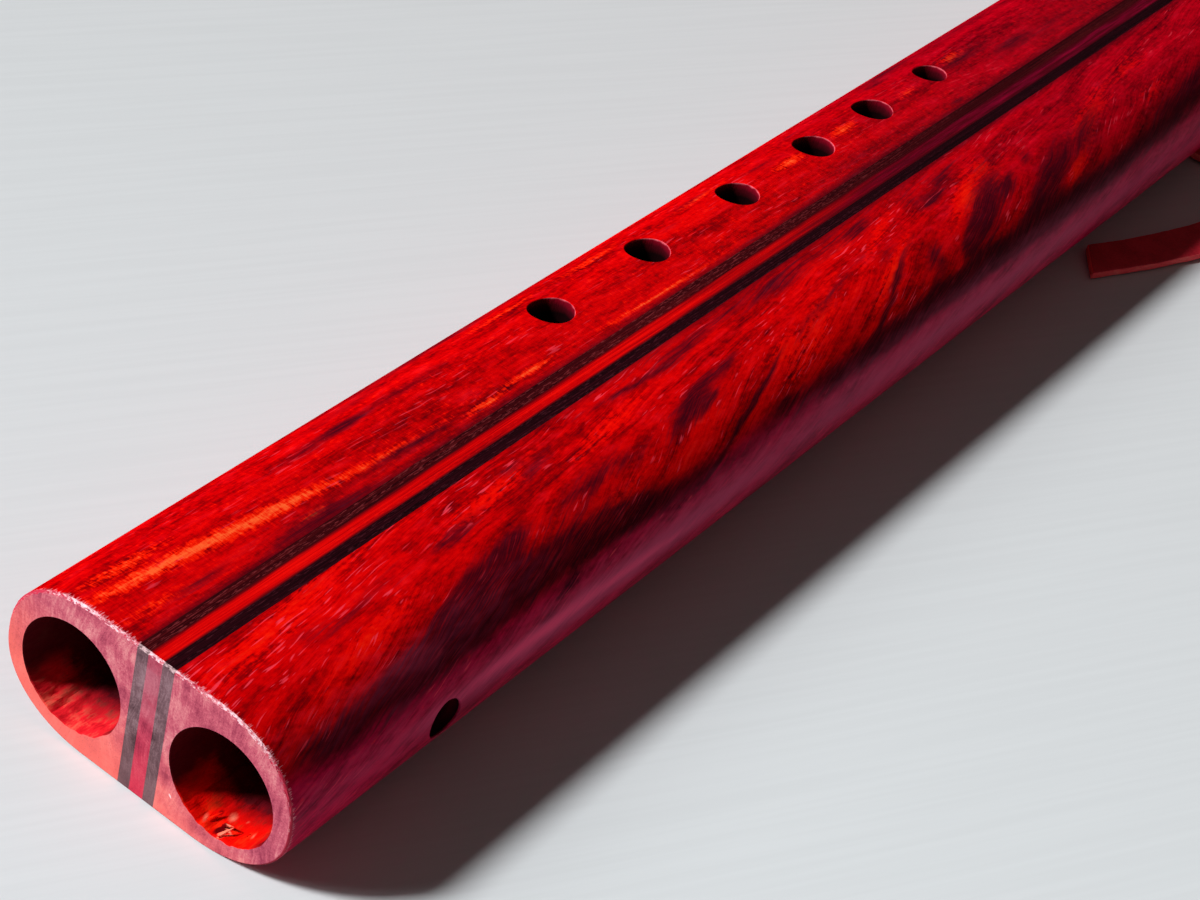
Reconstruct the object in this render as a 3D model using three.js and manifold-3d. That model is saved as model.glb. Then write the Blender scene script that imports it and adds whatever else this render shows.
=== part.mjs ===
import * as THREE from 'three';
import { mergeVertices } from 'three/addons/utils/BufferGeometryUtils.js';
import Module from 'manifold-3d';

// A drone flute: two bored barrels glued each side of three thin strips.
// The melody barrel has the finger holes, the drone barrel sounds one note.
// Millimetres, +X from the open foot to the mouth end, +Y the melody side, +Z up.

// Bores, walls and strips
const boreDiameter = 22.2;
const innerWall = 1.6;
const sideWall = 3.65;
const bottomWall = 4;
const topWall = 5.8;
const darkStripThickness = 2.5;
const centreStripThickness = 3.1;
const flatHalfWidth = 12.2;
const topExponent = 2.3;
const bottomExponent = 2.12;

// Sounding length, windway and slow air chamber
const soundingLength = 425;
const soundHoleLength = 7;
const flueLength = 14;
const flueWidth = 9.5;
const flueDepth = 1;
const chamberHoleLength = 7;
const chamberLength = 127;
const plugMargin = 1;
const edgeLip = 0.8;
const edgeRampLength = 4;

// Tone holes
const toneHoleDiameter = 9.3;
const lastToneHoleDiameter = 7.9;
const toneHoleShares = [0.301, 0.378, 0.4565, 0.528, 0.587, 0.648];
const droneHoleDiameter = 7.9;
const droneHoleFromFoot = 40;

// Nest that the blocks lie on
const nestDepth = 2.8;
const nestRampLength = 6;
const nestLead = 14;
const nestTail = 6;

// Mouthpiece
const mouthpieceLength = 40;
const tenonLength = 8;
const lipWidthShare = 0.62;
const lipHeightShare = 0.46;
const breathHoleDiameter = 7;
const breathHoleSpacing = 23;

// Blocks
const blockWidth = 17;
const blockSetback = 1.5;
const blockFrontLength = 14;
const blockRearLength = 12;
const blockChin = 4.5;
const blockFrontHeight = 16;
const blockRearHeight = 14;
const blockBevel = 1.2;
const saddleHeight = 9;
const travelForward = 3;
const travelBack = 4;

// Leather lace
const laceWidth = 10;
const laceThickness = 1.8;
const laceChamfer = 0.35;
const laceTurnGap = 0.8;
const laceTurns = 2;
const leastLaceStep = 0.1;
const knotHalfHeight = 7;
const knotLumpHalfLength = 8;
const knotLumpRise = 3.4;
const longTailFallShare = 0.45;
const shortTailFallShare = 0.7;
const restingTilt = 0.06;

// Clearances
const fitGap = 0.3;
const seatGap = 0.1;
const floorGap = 0.1;
const saddleSlack = 0.6;
const overrun = 2;

// Facets
const quarterSegments = 9;
const boreSegments = 40;
const holeSegments = 24;
const breathSegments = 20;
const cornerStep = Math.PI / 10;
const tailSteps = 44;
const lumpSegments = 20;
const lumpRings = 12;

// Worked out from the values above
const boreRadius = boreDiameter / 2;
const stackWidth = 2 * darkStripThickness + centreStripThickness;
const boreSpacing = stackWidth + 2 * innerWall + boreDiameter;
const bodyWidth = boreSpacing + boreDiameter + 2 * sideWall;
const bodyHeight = bottomWall + boreDiameter + topWall;
const boreHeight = bottomWall + boreRadius;
const boreY = boreSpacing / 2;
const soundHoleEnd = soundingLength + soundHoleLength;
const chamberHoleStart = soundHoleEnd + flueLength;
const plugStart = soundHoleEnd + plugMargin;
const plugEnd = chamberHoleStart - plugMargin;
const bodyLength = plugEnd + chamberLength + tenonLength;
const fluteLength = bodyLength + mouthpieceLength;
const nestZ = bodyHeight - nestDepth;
const lacePitch = laceWidth + laceTurnGap;
const laceBand = laceWidth + laceTurns * lacePitch;
const saddleLength = laceBand + travelForward + travelBack + 2 * saddleSlack;
const blockLength = blockFrontLength + saddleLength + blockRearLength;
const blockFront = soundHoleEnd + blockSetback;
const laceFront = blockFront + blockFrontLength + travelBack + saddleSlack;
const laceCentre = laceFront + laceBand / 2;
const saddleZ = nestZ + seatGap + saddleHeight;
const grooveDepth = fitGap + laceThickness + floorGap;
const nestStart = soundingLength - nestLead;
const nestEnd = blockFront + blockLength + travelBack + nestTail;

const wasm = await Module();
wasm.setup();

// Solids and booleans
function solidOf(geometry) {
  const bare = geometry.index ? geometry.clone() : mergeVertices(geometry.clone());
  bare.deleteAttribute('normal');
  bare.deleteAttribute('uv');
  const merged = mergeVertices(bare);
  const vertProperties = new Float32Array(merged.attributes.position.array);
  const triVerts = new Uint32Array(merged.index.array);
  return new wasm.Manifold(new wasm.Mesh({ numProp: 3, vertProperties, triVerts }));
}

function geometryOf(solid) {
  const { vertProperties, triVerts } = solid.getMesh();
  const geometry = new THREE.BufferGeometry();
  geometry.setAttribute('position', new THREE.BufferAttribute(vertProperties, 3));
  geometry.setIndex(new THREE.BufferAttribute(triVerts, 1));
  return geometry;
}

function boxBetween(low, high) {
  const size = high.map((value, axis) => value - low[axis]);
  const centre = high.map((value, axis) => (value + low[axis]) / 2);
  return solidOf(new THREE.BoxGeometry(...size).translate(...centre));
}

function rodAlongX(radius, xStart, xEnd, y, z, segments) {
  const rod = new THREE.CylinderGeometry(radius, radius, xEnd - xStart, segments);
  rod.rotateZ(-Math.PI / 2);
  return rod.translate((xStart + xEnd) / 2, y, z);
}

// An XZ outline extruded evenly each side of the plane y = centreY
function sideProfile(points, width, centreY) {
  const shape = new THREE.Shape(points.map(([x, z]) => new THREE.Vector2(x, z)));
  const slab = new THREE.ExtrudeGeometry(shape, { depth: width, bevelEnabled: false });
  slab.rotateX(Math.PI / 2);
  return solidOf(slab.translate(0, centreY + width / 2, 0));
}

// Closed body through rings that each have the same number of points
function loft(rings) {
  const count = rings[0].length;
  const position = rings.flat().flatMap((point) => point.toArray());
  const index = [];
  for (let ring = 0; ring + 1 < rings.length; ring += 1) {
    for (let side = 0; side < count; side += 1) {
      const a = ring * count + side;
      const b = ring * count + (side + 1) % count;
      index.push(a, b, b + count, a, b + count, a + count);
    }
  }
  const last = (rings.length - 1) * count;
  for (let side = 1; side + 1 < count; side += 1) {
    index.push(0, side + 1, side);
    index.push(last, last + side, last + side + 1);
  }
  const geometry = new THREE.BufferGeometry();
  geometry.setAttribute('position', new THREE.Float32BufferAttribute(position, 3));
  geometry.setIndex(index);
  return geometry;
}

// Cross-section of the body: a flat top and underside joined by superellipse shoulders.
// Points run anticlockwise seen from the mouth end, from the melody side over the top.
function bodySection() {
  const reach = bodyWidth / 2 - flatHalfWidth;
  const quarter = (rise, exponent, start) => {
    const points = [];
    for (let step = 0; step < quarterSegments; step += 1) {
      const angle = start + (Math.PI / 2) * (step / quarterSegments);
      const cos = Math.cos(angle);
      const sin = Math.sin(angle);
      const side = cos >= 0 ? 1 : -1;
      const across = Math.abs(cos) ** (2 / exponent);
      const up = Math.abs(sin) ** (2 / exponent);
      points.push([side * (flatHalfWidth + reach * across), boreHeight + Math.sign(sin) * rise * up]);
    }
    return points;
  };
  const topRise = bodyHeight - boreHeight;
  return [
    ...quarter(topRise, topExponent, 0),
    [flatHalfWidth, bodyHeight],
    [-flatHalfWidth, bodyHeight],
    ...quarter(topRise, topExponent, Math.PI / 2).slice(1),
    ...quarter(boreHeight, bottomExponent, Math.PI),
    [-flatHalfWidth, 0],
    [flatHalfWidth, 0],
    ...quarter(boreHeight, bottomExponent, 1.5 * Math.PI).slice(1),
  ];
}

const section = bodySection();

function bodyBlank() {
  const shape = new THREE.Shape(section.map(([y, z]) => new THREE.Vector2(y, z)));
  const blank = new THREE.ExtrudeGeometry(shape, { depth: bodyLength, bevelEnabled: false });
  const toBody = new THREE.Matrix4().makeBasis(
    new THREE.Vector3(0, 1, 0),
    new THREE.Vector3(0, 0, 1),
    new THREE.Vector3(1, 0, 0),
  );
  return solidOf(blank.applyMatrix4(toBody));
}

// The nest is milled flat across the whole width, and a shallow groove under the body
// lets the lace lie flush, so that the flute rests level.
function nestCut() {
  const top = bodyHeight + overrun;
  const outline = [
    [nestStart, bodyHeight],
    [nestStart + nestRampLength, nestZ],
    [nestEnd - nestRampLength, nestZ],
    [nestEnd, bodyHeight],
    [nestEnd, top],
    [nestStart, top],
  ];
  return sideProfile(outline, bodyWidth + 2 * overrun, 0);
}

function laceGrooveCut() {
  const edge = bodyWidth / 2 + overrun;
  return boxBetween(
    [laceFront - laceTurnGap, -edge, -overrun],
    [laceFront + laceBand + laceTurnGap, edge, grooveDepth],
  );
}

const blank = bodyBlank().subtract(nestCut()).subtract(laceGrooveCut());

function layerBetween(yLow, yHigh) {
  return blank.intersect(boxBetween(
    [-overrun, yLow, -overrun],
    [bodyLength + overrun, yHigh, bodyHeight + overrun],
  ));
}

// What turns a drilled barrel into a pipe: sound hole, windway and chamber hole
function windwayCuts(y) {
  const top = bodyHeight + overrun;
  const boreTop = boreHeight + boreRadius;
  const soundHole = sideProfile([
    [soundingLength, top],
    [soundHoleEnd, top],
    [soundHoleEnd, boreHeight],
    [soundingLength - edgeRampLength, boreHeight],
    [soundingLength - edgeRampLength, boreTop - edgeLip],
    [soundingLength, nestZ - edgeLip],
  ].reverse(), flueWidth, y);
  const half = flueWidth / 2;
  const flue = boxBetween(
    [soundHoleEnd - overrun, y - half, nestZ - flueDepth],
    [chamberHoleStart + overrun, y + half, top],
  );
  const chamberHole = boxBetween(
    [chamberHoleStart, y - half, boreHeight],
    [chamberHoleStart + chamberHoleLength, y + half, top],
  );
  return [soundHole, flue, chamberHole];
}

function barrel(side) {
  const inner = stackWidth / 2;
  const outer = bodyWidth / 2 + overrun;
  const y = side * boreY;
  const layer = side > 0 ? layerBetween(inner, outer) : layerBetween(-outer, -inner);
  const bore = solidOf(rodAlongX(boreRadius, -overrun, bodyLength + overrun, y, boreHeight, boreSegments));
  return windwayCuts(y).reduce((body, cut) => body.subtract(cut), layer.subtract(bore));
}

function melodyBarrel() {
  let body = barrel(1);
  const holeTop = bodyHeight + overrun;
  toneHoleShares.forEach((share, place) => {
    const isLast = place === toneHoleShares.length - 1;
    const radius = (isLast ? lastToneHoleDiameter : toneHoleDiameter) / 2;
    const hole = new THREE.CylinderGeometry(radius, radius, holeTop - boreHeight, holeSegments);
    hole.rotateX(Math.PI / 2);
    hole.translate(share * soundingLength, boreY, (boreHeight + holeTop) / 2);
    body = body.subtract(solidOf(hole));
  });
  return geometryOf(body);
}

function droneBarrel() {
  const radius = droneHoleDiameter / 2;
  const reach = bodyWidth / 2 + overrun - boreY;
  const hole = new THREE.CylinderGeometry(radius, radius, reach, holeSegments);
  hole.translate(droneHoleFromFoot, -(boreY + reach / 2), boreHeight);
  return geometryOf(barrel(-1).subtract(solidOf(hole)));
}

// Plug between the bore and the slow air chamber
function plug(side) {
  return rodAlongX(boreRadius - fitGap, plugStart, plugEnd, side * boreY, boreHeight, boreSegments);
}

// Mouthpiece: narrows from the body's section to a rounded lip, with a tenon in each chamber
function mouthpiece() {
  const stationShares = [0, 0.12, 0.25, 0.4, 0.56, 0.72, 0.86, 0.95, 1];
  const roundingShares = [1, 1, 1, 1, 1, 1, 0.985, 0.94, 0.85];
  const rings = stationShares.map((share, place) => {
    const ease = share * share * (3 - 2 * share);
    const wide = (1 + (lipWidthShare - 1) * ease) * roundingShares[place];
    const high = (1 + (lipHeightShare - 1) * ease) * roundingShares[place];
    const x = bodyLength + share * mouthpieceLength;
    return section.map(([y, z]) => new THREE.Vector3(x, y * wide, boreHeight + (z - boreHeight) * high));
  });
  let body = solidOf(loft(rings));
  const tenonStart = bodyLength - tenonLength;
  for (const side of [1, -1]) {
    const tenonEnd = bodyLength + tenonLength;
    const centreY = side * boreY;
    const tenon = rodAlongX(boreRadius - fitGap, tenonStart, tenonEnd, centreY, boreHeight, boreSegments);
    body = body.add(solidOf(tenon));
  }
  for (const side of [1, -1]) {
    const hole = rodAlongX(
      breathHoleDiameter / 2,
      tenonStart - overrun,
      fluteLength + overrun,
      (side * breathHoleSpacing) / 2,
      boreHeight,
      breathSegments,
    );
    body = body.subtract(solidOf(hole));
  }
  return geometryOf(body);
}

// Block: flat underneath, a hump each side of the saddle that the lace holds down
function block(side) {
  const saddleEnd = blockFrontLength + saddleLength;
  const nose = blockFrontLength - blockChin;
  const tail = blockLength - blockRearLength + blockChin;
  const shape = new THREE.Shape();
  shape.moveTo(0, 0);
  shape.lineTo(blockLength, 0);
  shape.lineTo(blockLength, blockChin);
  shape.quadraticCurveTo(blockLength, blockRearHeight, tail, blockRearHeight);
  shape.lineTo(saddleEnd, blockRearHeight);
  shape.lineTo(saddleEnd, saddleHeight);
  shape.lineTo(blockFrontLength, saddleHeight);
  shape.lineTo(blockFrontLength, blockFrontHeight);
  shape.lineTo(nose, blockFrontHeight);
  shape.quadraticCurveTo(0, blockFrontHeight, 0, blockChin);
  const body = new THREE.ExtrudeGeometry(shape, {
    depth: blockWidth - 2 * blockBevel,
    bevelThickness: blockBevel,
    bevelSize: blockBevel,
    bevelOffset: -blockBevel,
    bevelSegments: 2,
    curveSegments: 6,
  });
  body.rotateX(Math.PI / 2);
  return body.translate(blockFront, side * boreY + blockWidth / 2 - blockBevel, nestZ + seatGap);
}

// Lace path round the body and over the two saddles, at the lace's middle
function boundaryCorners() {
  const clipped = [];
  section.forEach(([y, z], place) => {
    const [nextY, nextZ] = section[(place + 1) % section.length];
    if (z >= grooveDepth && z <= nestZ) clipped.push([y, z]);
    for (const level of [grooveDepth, nestZ]) {
      if ((z - level) * (nextZ - level) < 0) {
        clipped.push([y + ((level - z) / (nextZ - z)) * (nextY - y), level]);
      }
    }
  });
  const saddleY = boreY + blockWidth / 2;
  return [...clipped, [saddleY, saddleZ], [-saddleY, saddleZ]];
}

function convexHull(points) {
  const sorted = [...points].sort((a, b) => a[0] - b[0] || a[1] - b[1]);
  const turn = (o, a, b) => (a[0] - o[0]) * (b[1] - o[1]) - (a[1] - o[1]) * (b[0] - o[0]);
  const chain = (list) => {
    const kept = [];
    for (const point of list) {
      while (kept.length > 1 && turn(kept.at(-2), kept.at(-1), point) <= 0) kept.pop();
      kept.push(point);
    }
    return kept.slice(0, -1);
  };
  return [...chain(sorted), ...chain([...sorted].reverse())];
}

// The loop starts where the knot sits, half way down the drone side's straight span
function laceLoop() {
  const hull = convexHull(boundaryCorners());
  const corner = hull.findIndex(([y, z]) => y < 0 && z === saddleZ);
  const ordered = [...hull.slice(corner + 1), ...hull.slice(0, corner + 1)];
  const [top, foot] = [ordered.at(-1), ordered[0]];
  const offset = fitGap + laceThickness / 2;
  const normalOf = (a, b) => Math.atan2(a[0] - b[0], b[1] - a[1]);
  const middle = [(top[0] + foot[0]) / 2, (top[1] + foot[1]) / 2];
  const startAngle = normalOf(top, foot);
  const loop = [];
  const push = ([y, z], angle) => {
    const [ny, nz] = [Math.cos(angle), Math.sin(angle)];
    loop.push({ y: y + ny * offset, z: z + nz * offset, ny, nz });
  };
  push(middle, startAngle);
  ordered.forEach((point, place) => {
    const before = place === 0 ? top : ordered[place - 1];
    const after = place === ordered.length - 1 ? ordered[0] : ordered[place + 1];
    const angleIn = normalOf(before, point);
    let swing = normalOf(point, after) - angleIn;
    while (swing < 0) swing += 2 * Math.PI;
    const steps = Math.max(1, Math.ceil(swing / cornerStep));
    for (let step = 0; step <= steps; step += 1) push(point, angleIn + (swing * step) / steps);
  });
  push(middle, startAngle);
  return { loop, middle, startAngle };
}

const { loop: lacePath, middle: knotFoot, startAngle: knotAngle } = laceLoop();

// Flat lace section: a rectangle with eased corners, in the plane of side and normal
function laceRing(centre, side, normal) {
  const halfWidth = laceWidth / 2;
  const halfThickness = laceThickness / 2;
  const corners = [
    [halfWidth, halfThickness - laceChamfer],
    [halfWidth - laceChamfer, halfThickness],
    [laceChamfer - halfWidth, halfThickness],
    [-halfWidth, halfThickness - laceChamfer],
    [-halfWidth, laceChamfer - halfThickness],
    [laceChamfer - halfWidth, -halfThickness],
    [halfWidth - laceChamfer, -halfThickness],
    [halfWidth, laceChamfer - halfThickness],
  ];
  return corners.map(([across, up]) => {
    const edge = centre.clone().addScaledVector(side, across);
    return edge.addScaledVector(normal, up);
  });
}

// Winding: one unbroken lace of whole turns, whose two ends face the knot
function laceStations() {
  const lengths = [0];
  for (let place = 1; place < lacePath.length; place += 1) {
    const [a, b] = [lacePath[place - 1], lacePath[place]];
    lengths.push(lengths.at(-1) + Math.hypot(b.y - a.y, b.z - a.z));
  }
  const around = lengths.at(-1);
  const inset = knotHalfHeight + fitGap;
  const stations = [];
  const push = (turn, run, { y, z, ny, nz }) => {
    const x = laceCentre - (lacePitch * laceTurns) / 2 + lacePitch * (turn + run / around);
    stations.push({ centre: new THREE.Vector3(x, y, z), normal: new THREE.Vector3(0, ny, nz) });
  };
  const along = (place, run) => {
    const share = (run - lengths[place]) / (lengths[place + 1] - lengths[place]);
    const [a, b] = [lacePath[place], lacePath[place + 1]];
    return { ...a, y: a.y + share * (b.y - a.y), z: a.z + share * (b.z - a.z) };
  };
  push(0, inset, along(0, inset));
  for (let turn = 0; turn < laceTurns; turn += 1) {
    for (let place = 1; place < lacePath.length; place += 1) {
      const moved = lengths[place] - lengths[place - 1] > leastLaceStep;
      const closes = place === lacePath.length - 1;
      if (moved && !closes) push(turn, lengths[place], lacePath[place]);
    }
  }
  push(laceTurns - 1, around - inset, along(lacePath.length - 2, around - inset));
  return stations;
}

function laceWinding() {
  const stations = laceStations();
  const rings = stations.map(({ centre, normal }, place) => {
    const before = stations[Math.max(place - 1, 0)].centre;
    const after = stations[Math.min(place + 1, stations.length - 1)].centre;
    const tangent = after.clone().sub(before).normalize();
    const side = normal.clone().cross(tangent).normalize();
    const up = tangent.clone().cross(side).normalize();
    return laceRing(centre, side, up);
  });
  const alongTurn = stations.length / laceTurns;
  let leastGap = Infinity;
  rings.forEach((ring, place) => {
    for (const other of rings.slice(place + Math.ceil(alongTurn / 2))) {
      for (const point of ring) {
        for (const far of other) leastGap = Math.min(leastGap, point.distanceTo(far));
      }
    }
  });
  console.log(`lace winding: least gap to itself ${leastGap.toFixed(2)} mm`);
  return loft(rings);
}

// Knot: a flat hitch over the middle strand, with a foot facing each end of the winding
const knotNormal = new THREE.Vector3(0, Math.cos(knotAngle), Math.sin(knotAngle));
const knotAlong = new THREE.Vector3(1, 0, 0);
const knotUp = knotNormal.clone().cross(knotAlong);
const knotPlace = new THREE.Matrix4()
  .makeBasis(knotAlong, knotUp, knotNormal)
  .setPosition(laceCentre, ...knotFoot);
const knotBase = 2 * fitGap + laceThickness;
const knotHalfLength = laceBand / 2;

function laceKnot() {
  const slab = boxBetween(
    [-knotHalfLength, -knotHalfHeight, knotBase],
    [knotHalfLength, knotHalfHeight, knotBase + laceThickness],
  );
  const lump = new THREE.SphereGeometry(1, lumpSegments, lumpRings);
  lump.rotateX(Math.PI / 2);
  lump.scale(knotLumpHalfLength, knotHalfHeight, knotLumpRise);
  lump.translate(0, 0, knotBase + laceThickness);
  const upper = solidOf(lump).subtract(boxBetween(
    [-knotHalfLength, -2 * knotHalfHeight, -knotHalfLength],
    [knotHalfLength, 2 * knotHalfHeight, knotBase + laceThickness / 2],
  ));
  let knot = slab.add(upper);
  for (const end of [1, -1]) {
    const near = end * (lacePitch - laceWidth / 2);
    const far = end * knotHalfLength;
    knot = knot.add(boxBetween(
      [Math.min(near, far), -knotHalfHeight, fitGap],
      [Math.max(near, far), knotHalfHeight, knotBase + laceThickness / 2],
    ));
  }
  return geometryOf(knot).applyMatrix4(knotPlace);
}

// Tails: flat lace that slides off the knot down to the table and lies on it.
// Points are the middle of the lace, measured from the foot.
const longTailRoute = [
  [472.9, -33.5, 24.0],
  [472.9, -34.3, 21.4],
  [471.4, -35.7, 17.4],
  [467.8, -37.5, 13.4],
  [462.6, -39.5, 10.0],
  [456.2, -41.5, 7.0],
  [448.4, -43.6, 5.0],
  [439.0, -45.8, 3.8],
  [428.0, -47.9, 2.9],
  [415.5, -49.9, 2.1],
  [402.0, -51.5, 1.6],
  [387.0, -52.7, 1.4],
  [371.0, -53.2, 1.4],
  [355.0, -52.6, 1.4],
  [340.5, -50.8, 1.4],
  [327.0, -48.0, 1.4],
  [315.4, -44.6, 1.4],
  [300.4, -38.7, 1.4],
  [286.3, -32.1, 1.4],
];
const shortTailRoute = [
  [451.7, -31.1, 31.0],
  [447.6, -31.2, 30.9],
  [442.4, -31.6, 29.9],
  [436.4, -32.4, 27.6],
  [430.0, -33.6, 24.3],
  [423.4, -34.9, 20.3],
  [416.4, -36.0, 15.9],
  [409.2, -36.8, 11.7],
  [401.6, -37.1, 8.1],
  [393.4, -36.9, 5.2],
  [384.8, -36.1, 3.2],
  [375.6, -34.9, 2.1],
  [365.0, -33.2, 1.6],
  [354.0, -31.3, 1.4],
];
function tail(route, fallShare) {
  const curve = new THREE.CatmullRomCurve3(route.map((point) => new THREE.Vector3(...point)));
  const flat = new THREE.Vector3(0, Math.sin(-restingTilt), Math.cos(restingTilt));
  const rings = [];
  for (let step = 0; step <= tailSteps; step += 1) {
    const share = step / tailSteps;
    const centre = curve.getPointAt(share);
    const tangent = curve.getTangentAt(share);
    const turned = THREE.MathUtils.smoothstep(share, 0, fallShare);
    const lean = knotNormal.clone().lerp(flat, turned);
    const side = lean.clone().cross(tangent).normalize();
    const up = tangent.clone().cross(side).normalize();
    rings.push(laceRing(centre, side, up));
  }
  return loft(rings);
}

// Materials
const materials = {
  melodyWood: { color: '#b5141c', roughness: 0.38, metalness: 0 },
  droneWood: { color: '#a31020', roughness: 0.38, metalness: 0 },
  darkWood: { color: '#2b1517', roughness: 0.5, metalness: 0 },
  centreWood: { color: '#bb1a22', roughness: 0.4, metalness: 0 },
  plugWood: { color: '#b98a5e', roughness: 0.7, metalness: 0 },
  blockWood: { color: '#301a18', roughness: 0.42, metalness: 0 },
  leather: { color: '#8a1626', roughness: 0.72, metalness: 0 },
};

const flute = new THREE.Group();
flute.position.x = -fluteLength / 2;

function addPart(name, geometry, finish) {
  const mesh = new THREE.Mesh(geometry, new THREE.MeshStandardMaterial(materials[finish]));
  mesh.name = name;
  flute.add(mesh);
}

const half = centreStripThickness / 2;
addPart('melody_barrel', melodyBarrel(), 'melodyWood');
addPart('drone_barrel', droneBarrel(), 'droneWood');
addPart('melody_dark_strip', geometryOf(layerBetween(half, stackWidth / 2)), 'darkWood');
addPart('centre_strip', geometryOf(layerBetween(-half, half)), 'centreWood');
addPart('drone_dark_strip', geometryOf(layerBetween(-stackWidth / 2, -half)), 'darkWood');
addPart('melody_plug', plug(1), 'plugWood');
addPart('drone_plug', plug(-1), 'plugWood');
addPart('mouthpiece', mouthpiece(), 'darkWood');
addPart('melody_block', block(1), 'blockWood');
addPart('drone_block', block(-1), 'blockWood');
addPart('lace_winding', laceWinding(), 'leather');
addPart('lace_knot', laceKnot(), 'leather');
addPart('lace_long_tail', tail(longTailRoute, longTailFallShare), 'leather');
addPart('lace_short_tail', tail(shortTailRoute, shortTailFallShare), 'leather');

const model = new THREE.Group();
model.add(flute);

export default model;
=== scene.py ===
import math
import random
import bpy
import numpy as np
from mathutils import Matrix, Vector, noise
from mathutils.geometry import convex_hull_2d, interpolate_bezier


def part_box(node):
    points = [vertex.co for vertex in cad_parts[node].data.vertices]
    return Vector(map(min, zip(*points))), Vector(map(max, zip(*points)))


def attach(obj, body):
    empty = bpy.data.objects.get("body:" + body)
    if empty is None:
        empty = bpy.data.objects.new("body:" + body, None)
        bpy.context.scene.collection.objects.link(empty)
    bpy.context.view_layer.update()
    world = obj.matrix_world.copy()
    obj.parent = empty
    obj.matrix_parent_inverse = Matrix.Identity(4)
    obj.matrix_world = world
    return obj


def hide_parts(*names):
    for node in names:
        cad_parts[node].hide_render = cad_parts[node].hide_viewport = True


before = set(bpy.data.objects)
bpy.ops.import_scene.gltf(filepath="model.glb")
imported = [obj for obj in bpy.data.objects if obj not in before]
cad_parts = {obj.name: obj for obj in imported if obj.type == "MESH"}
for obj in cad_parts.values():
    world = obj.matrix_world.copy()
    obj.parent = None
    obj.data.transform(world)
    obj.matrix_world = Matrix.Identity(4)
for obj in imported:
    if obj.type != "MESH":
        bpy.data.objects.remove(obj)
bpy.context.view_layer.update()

mm = 0.001
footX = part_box("melody_barrel")[0].x
footMm = footX / mm  # for materials, which work in millimetres


def place(x, y, z):
    return Vector((footX + x * mm, y * mm, z * mm))


# Small helpers for working in object and edit mode
def makeActive(piece):
    if bpy.context.object and bpy.context.object.mode != "OBJECT":
        bpy.ops.object.mode_set(mode="OBJECT")
    bpy.ops.object.select_all(action="DESELECT")
    piece.select_set(True)
    bpy.context.view_layer.objects.active = piece


def named(name):
    piece = bpy.context.object  # what the last operator made
    piece.name = name
    piece.data.name = name
    makeActive(piece)
    return piece


def settle(piece):
    makeActive(piece)
    bpy.ops.object.transform_apply(location=True, rotation=True, scale=True)
    return piece


def copyOf(piece, name):
    makeActive(piece)
    bpy.ops.object.duplicate(linked=False)
    return named(name)


def objectMode():
    bpy.ops.object.mode_set(mode="OBJECT")


def pickAll(piece, kind="FACE", action="SELECT"):
    # leaves the piece in edit mode, all of it selected
    makeActive(piece)
    bpy.ops.object.mode_set(mode="EDIT")
    bpy.ops.mesh.select_mode(type=kind)
    bpy.ops.mesh.select_all(action=action)


def pickEdges(piece, test):
    # leaves the piece in edit mode, only the edges selected whose two ends pass the test
    pickAll(piece, "EDGE", "DESELECT")
    objectMode()
    for edge in piece.data.edges:
        edge.select = test(*(piece.data.vertices[v].co for v in edge.vertices))
    bpy.ops.object.mode_set(mode="EDIT")


def facesOut(piece):
    pickAll(piece)
    bpy.ops.mesh.normals_make_consistent(inside=False)
    objectMode()


def applyModifier(piece, kind, **settings):
    makeActive(piece)
    modifier = piece.modifiers.new(kind.lower(), kind)
    for name, value in settings.items():
        setattr(modifier, name, value)
    bpy.ops.object.modifier_apply(modifier=modifier.name)


def cut(piece, cutter, operation="DIFFERENCE"):
    applyModifier(piece, "BOOLEAN", object=cutter, operation=operation, solver="EXACT")
    bpy.data.objects.remove(cutter)


def smooth(piece, degrees):
    makeActive(piece)
    bpy.ops.object.shade_smooth_by_angle(angle=math.radians(degrees))


def boxBetween(low, high, name="cutter"):
    bpy.ops.mesh.primitive_cube_add(size=1, location=(low + high) / 2)
    bpy.context.object.scale = high - low
    return settle(named(name))


def cutterBox(low, high):
    # its corners are in millimetres from the foot
    return boxBetween(place(*low), place(*high))


# Camera, at the height and distance the foot is seen from
view = {
    "place": (-0.5633, -0.1955, 0.3407),
    "aim": (-0.1730, 0.0031, 0.0),  # the point of the table in the middle of the frame
    "rollDegrees": 15.33,
    "lens": 82.54,
}


def makeCamera():
    bpy.ops.object.camera_add(location=view["place"])
    camera = bpy.context.object
    camera.name = "camera"
    camera.data.lens = view["lens"]
    camera.data.clip_start = 0.01
    towards = Vector(view["aim"]) - camera.location
    turn = towards.to_track_quat("-Z", "Y").to_matrix()
    roll = Matrix.Rotation(math.radians(view["rollDegrees"]), 3, "Z")
    camera.rotation_euler = (turn @ roll).to_euler()
    bpy.context.scene.camera = camera


makeCamera()
print("camera ready")

# Leather lace
lace = {
    "width": 10.0,
    "thickness": 1.8,
    "edgeRound": 0.4,
    "step": 1.0,
    "acrossSteps": 8,
    "knotFaceDegrees": 162.45,  # how far the knot's face is turned from +Y towards +Z
    "restingTilt": 0.06,
    "tipSlant": 5.6,
    "tipReach": 9.0,
    "raggedEdge": 0.12,
}
knotTurn = math.radians(lace["knotFaceDegrees"])
knotFace = Vector((0, math.cos(knotTurn), math.sin(knotTurn)))

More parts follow.
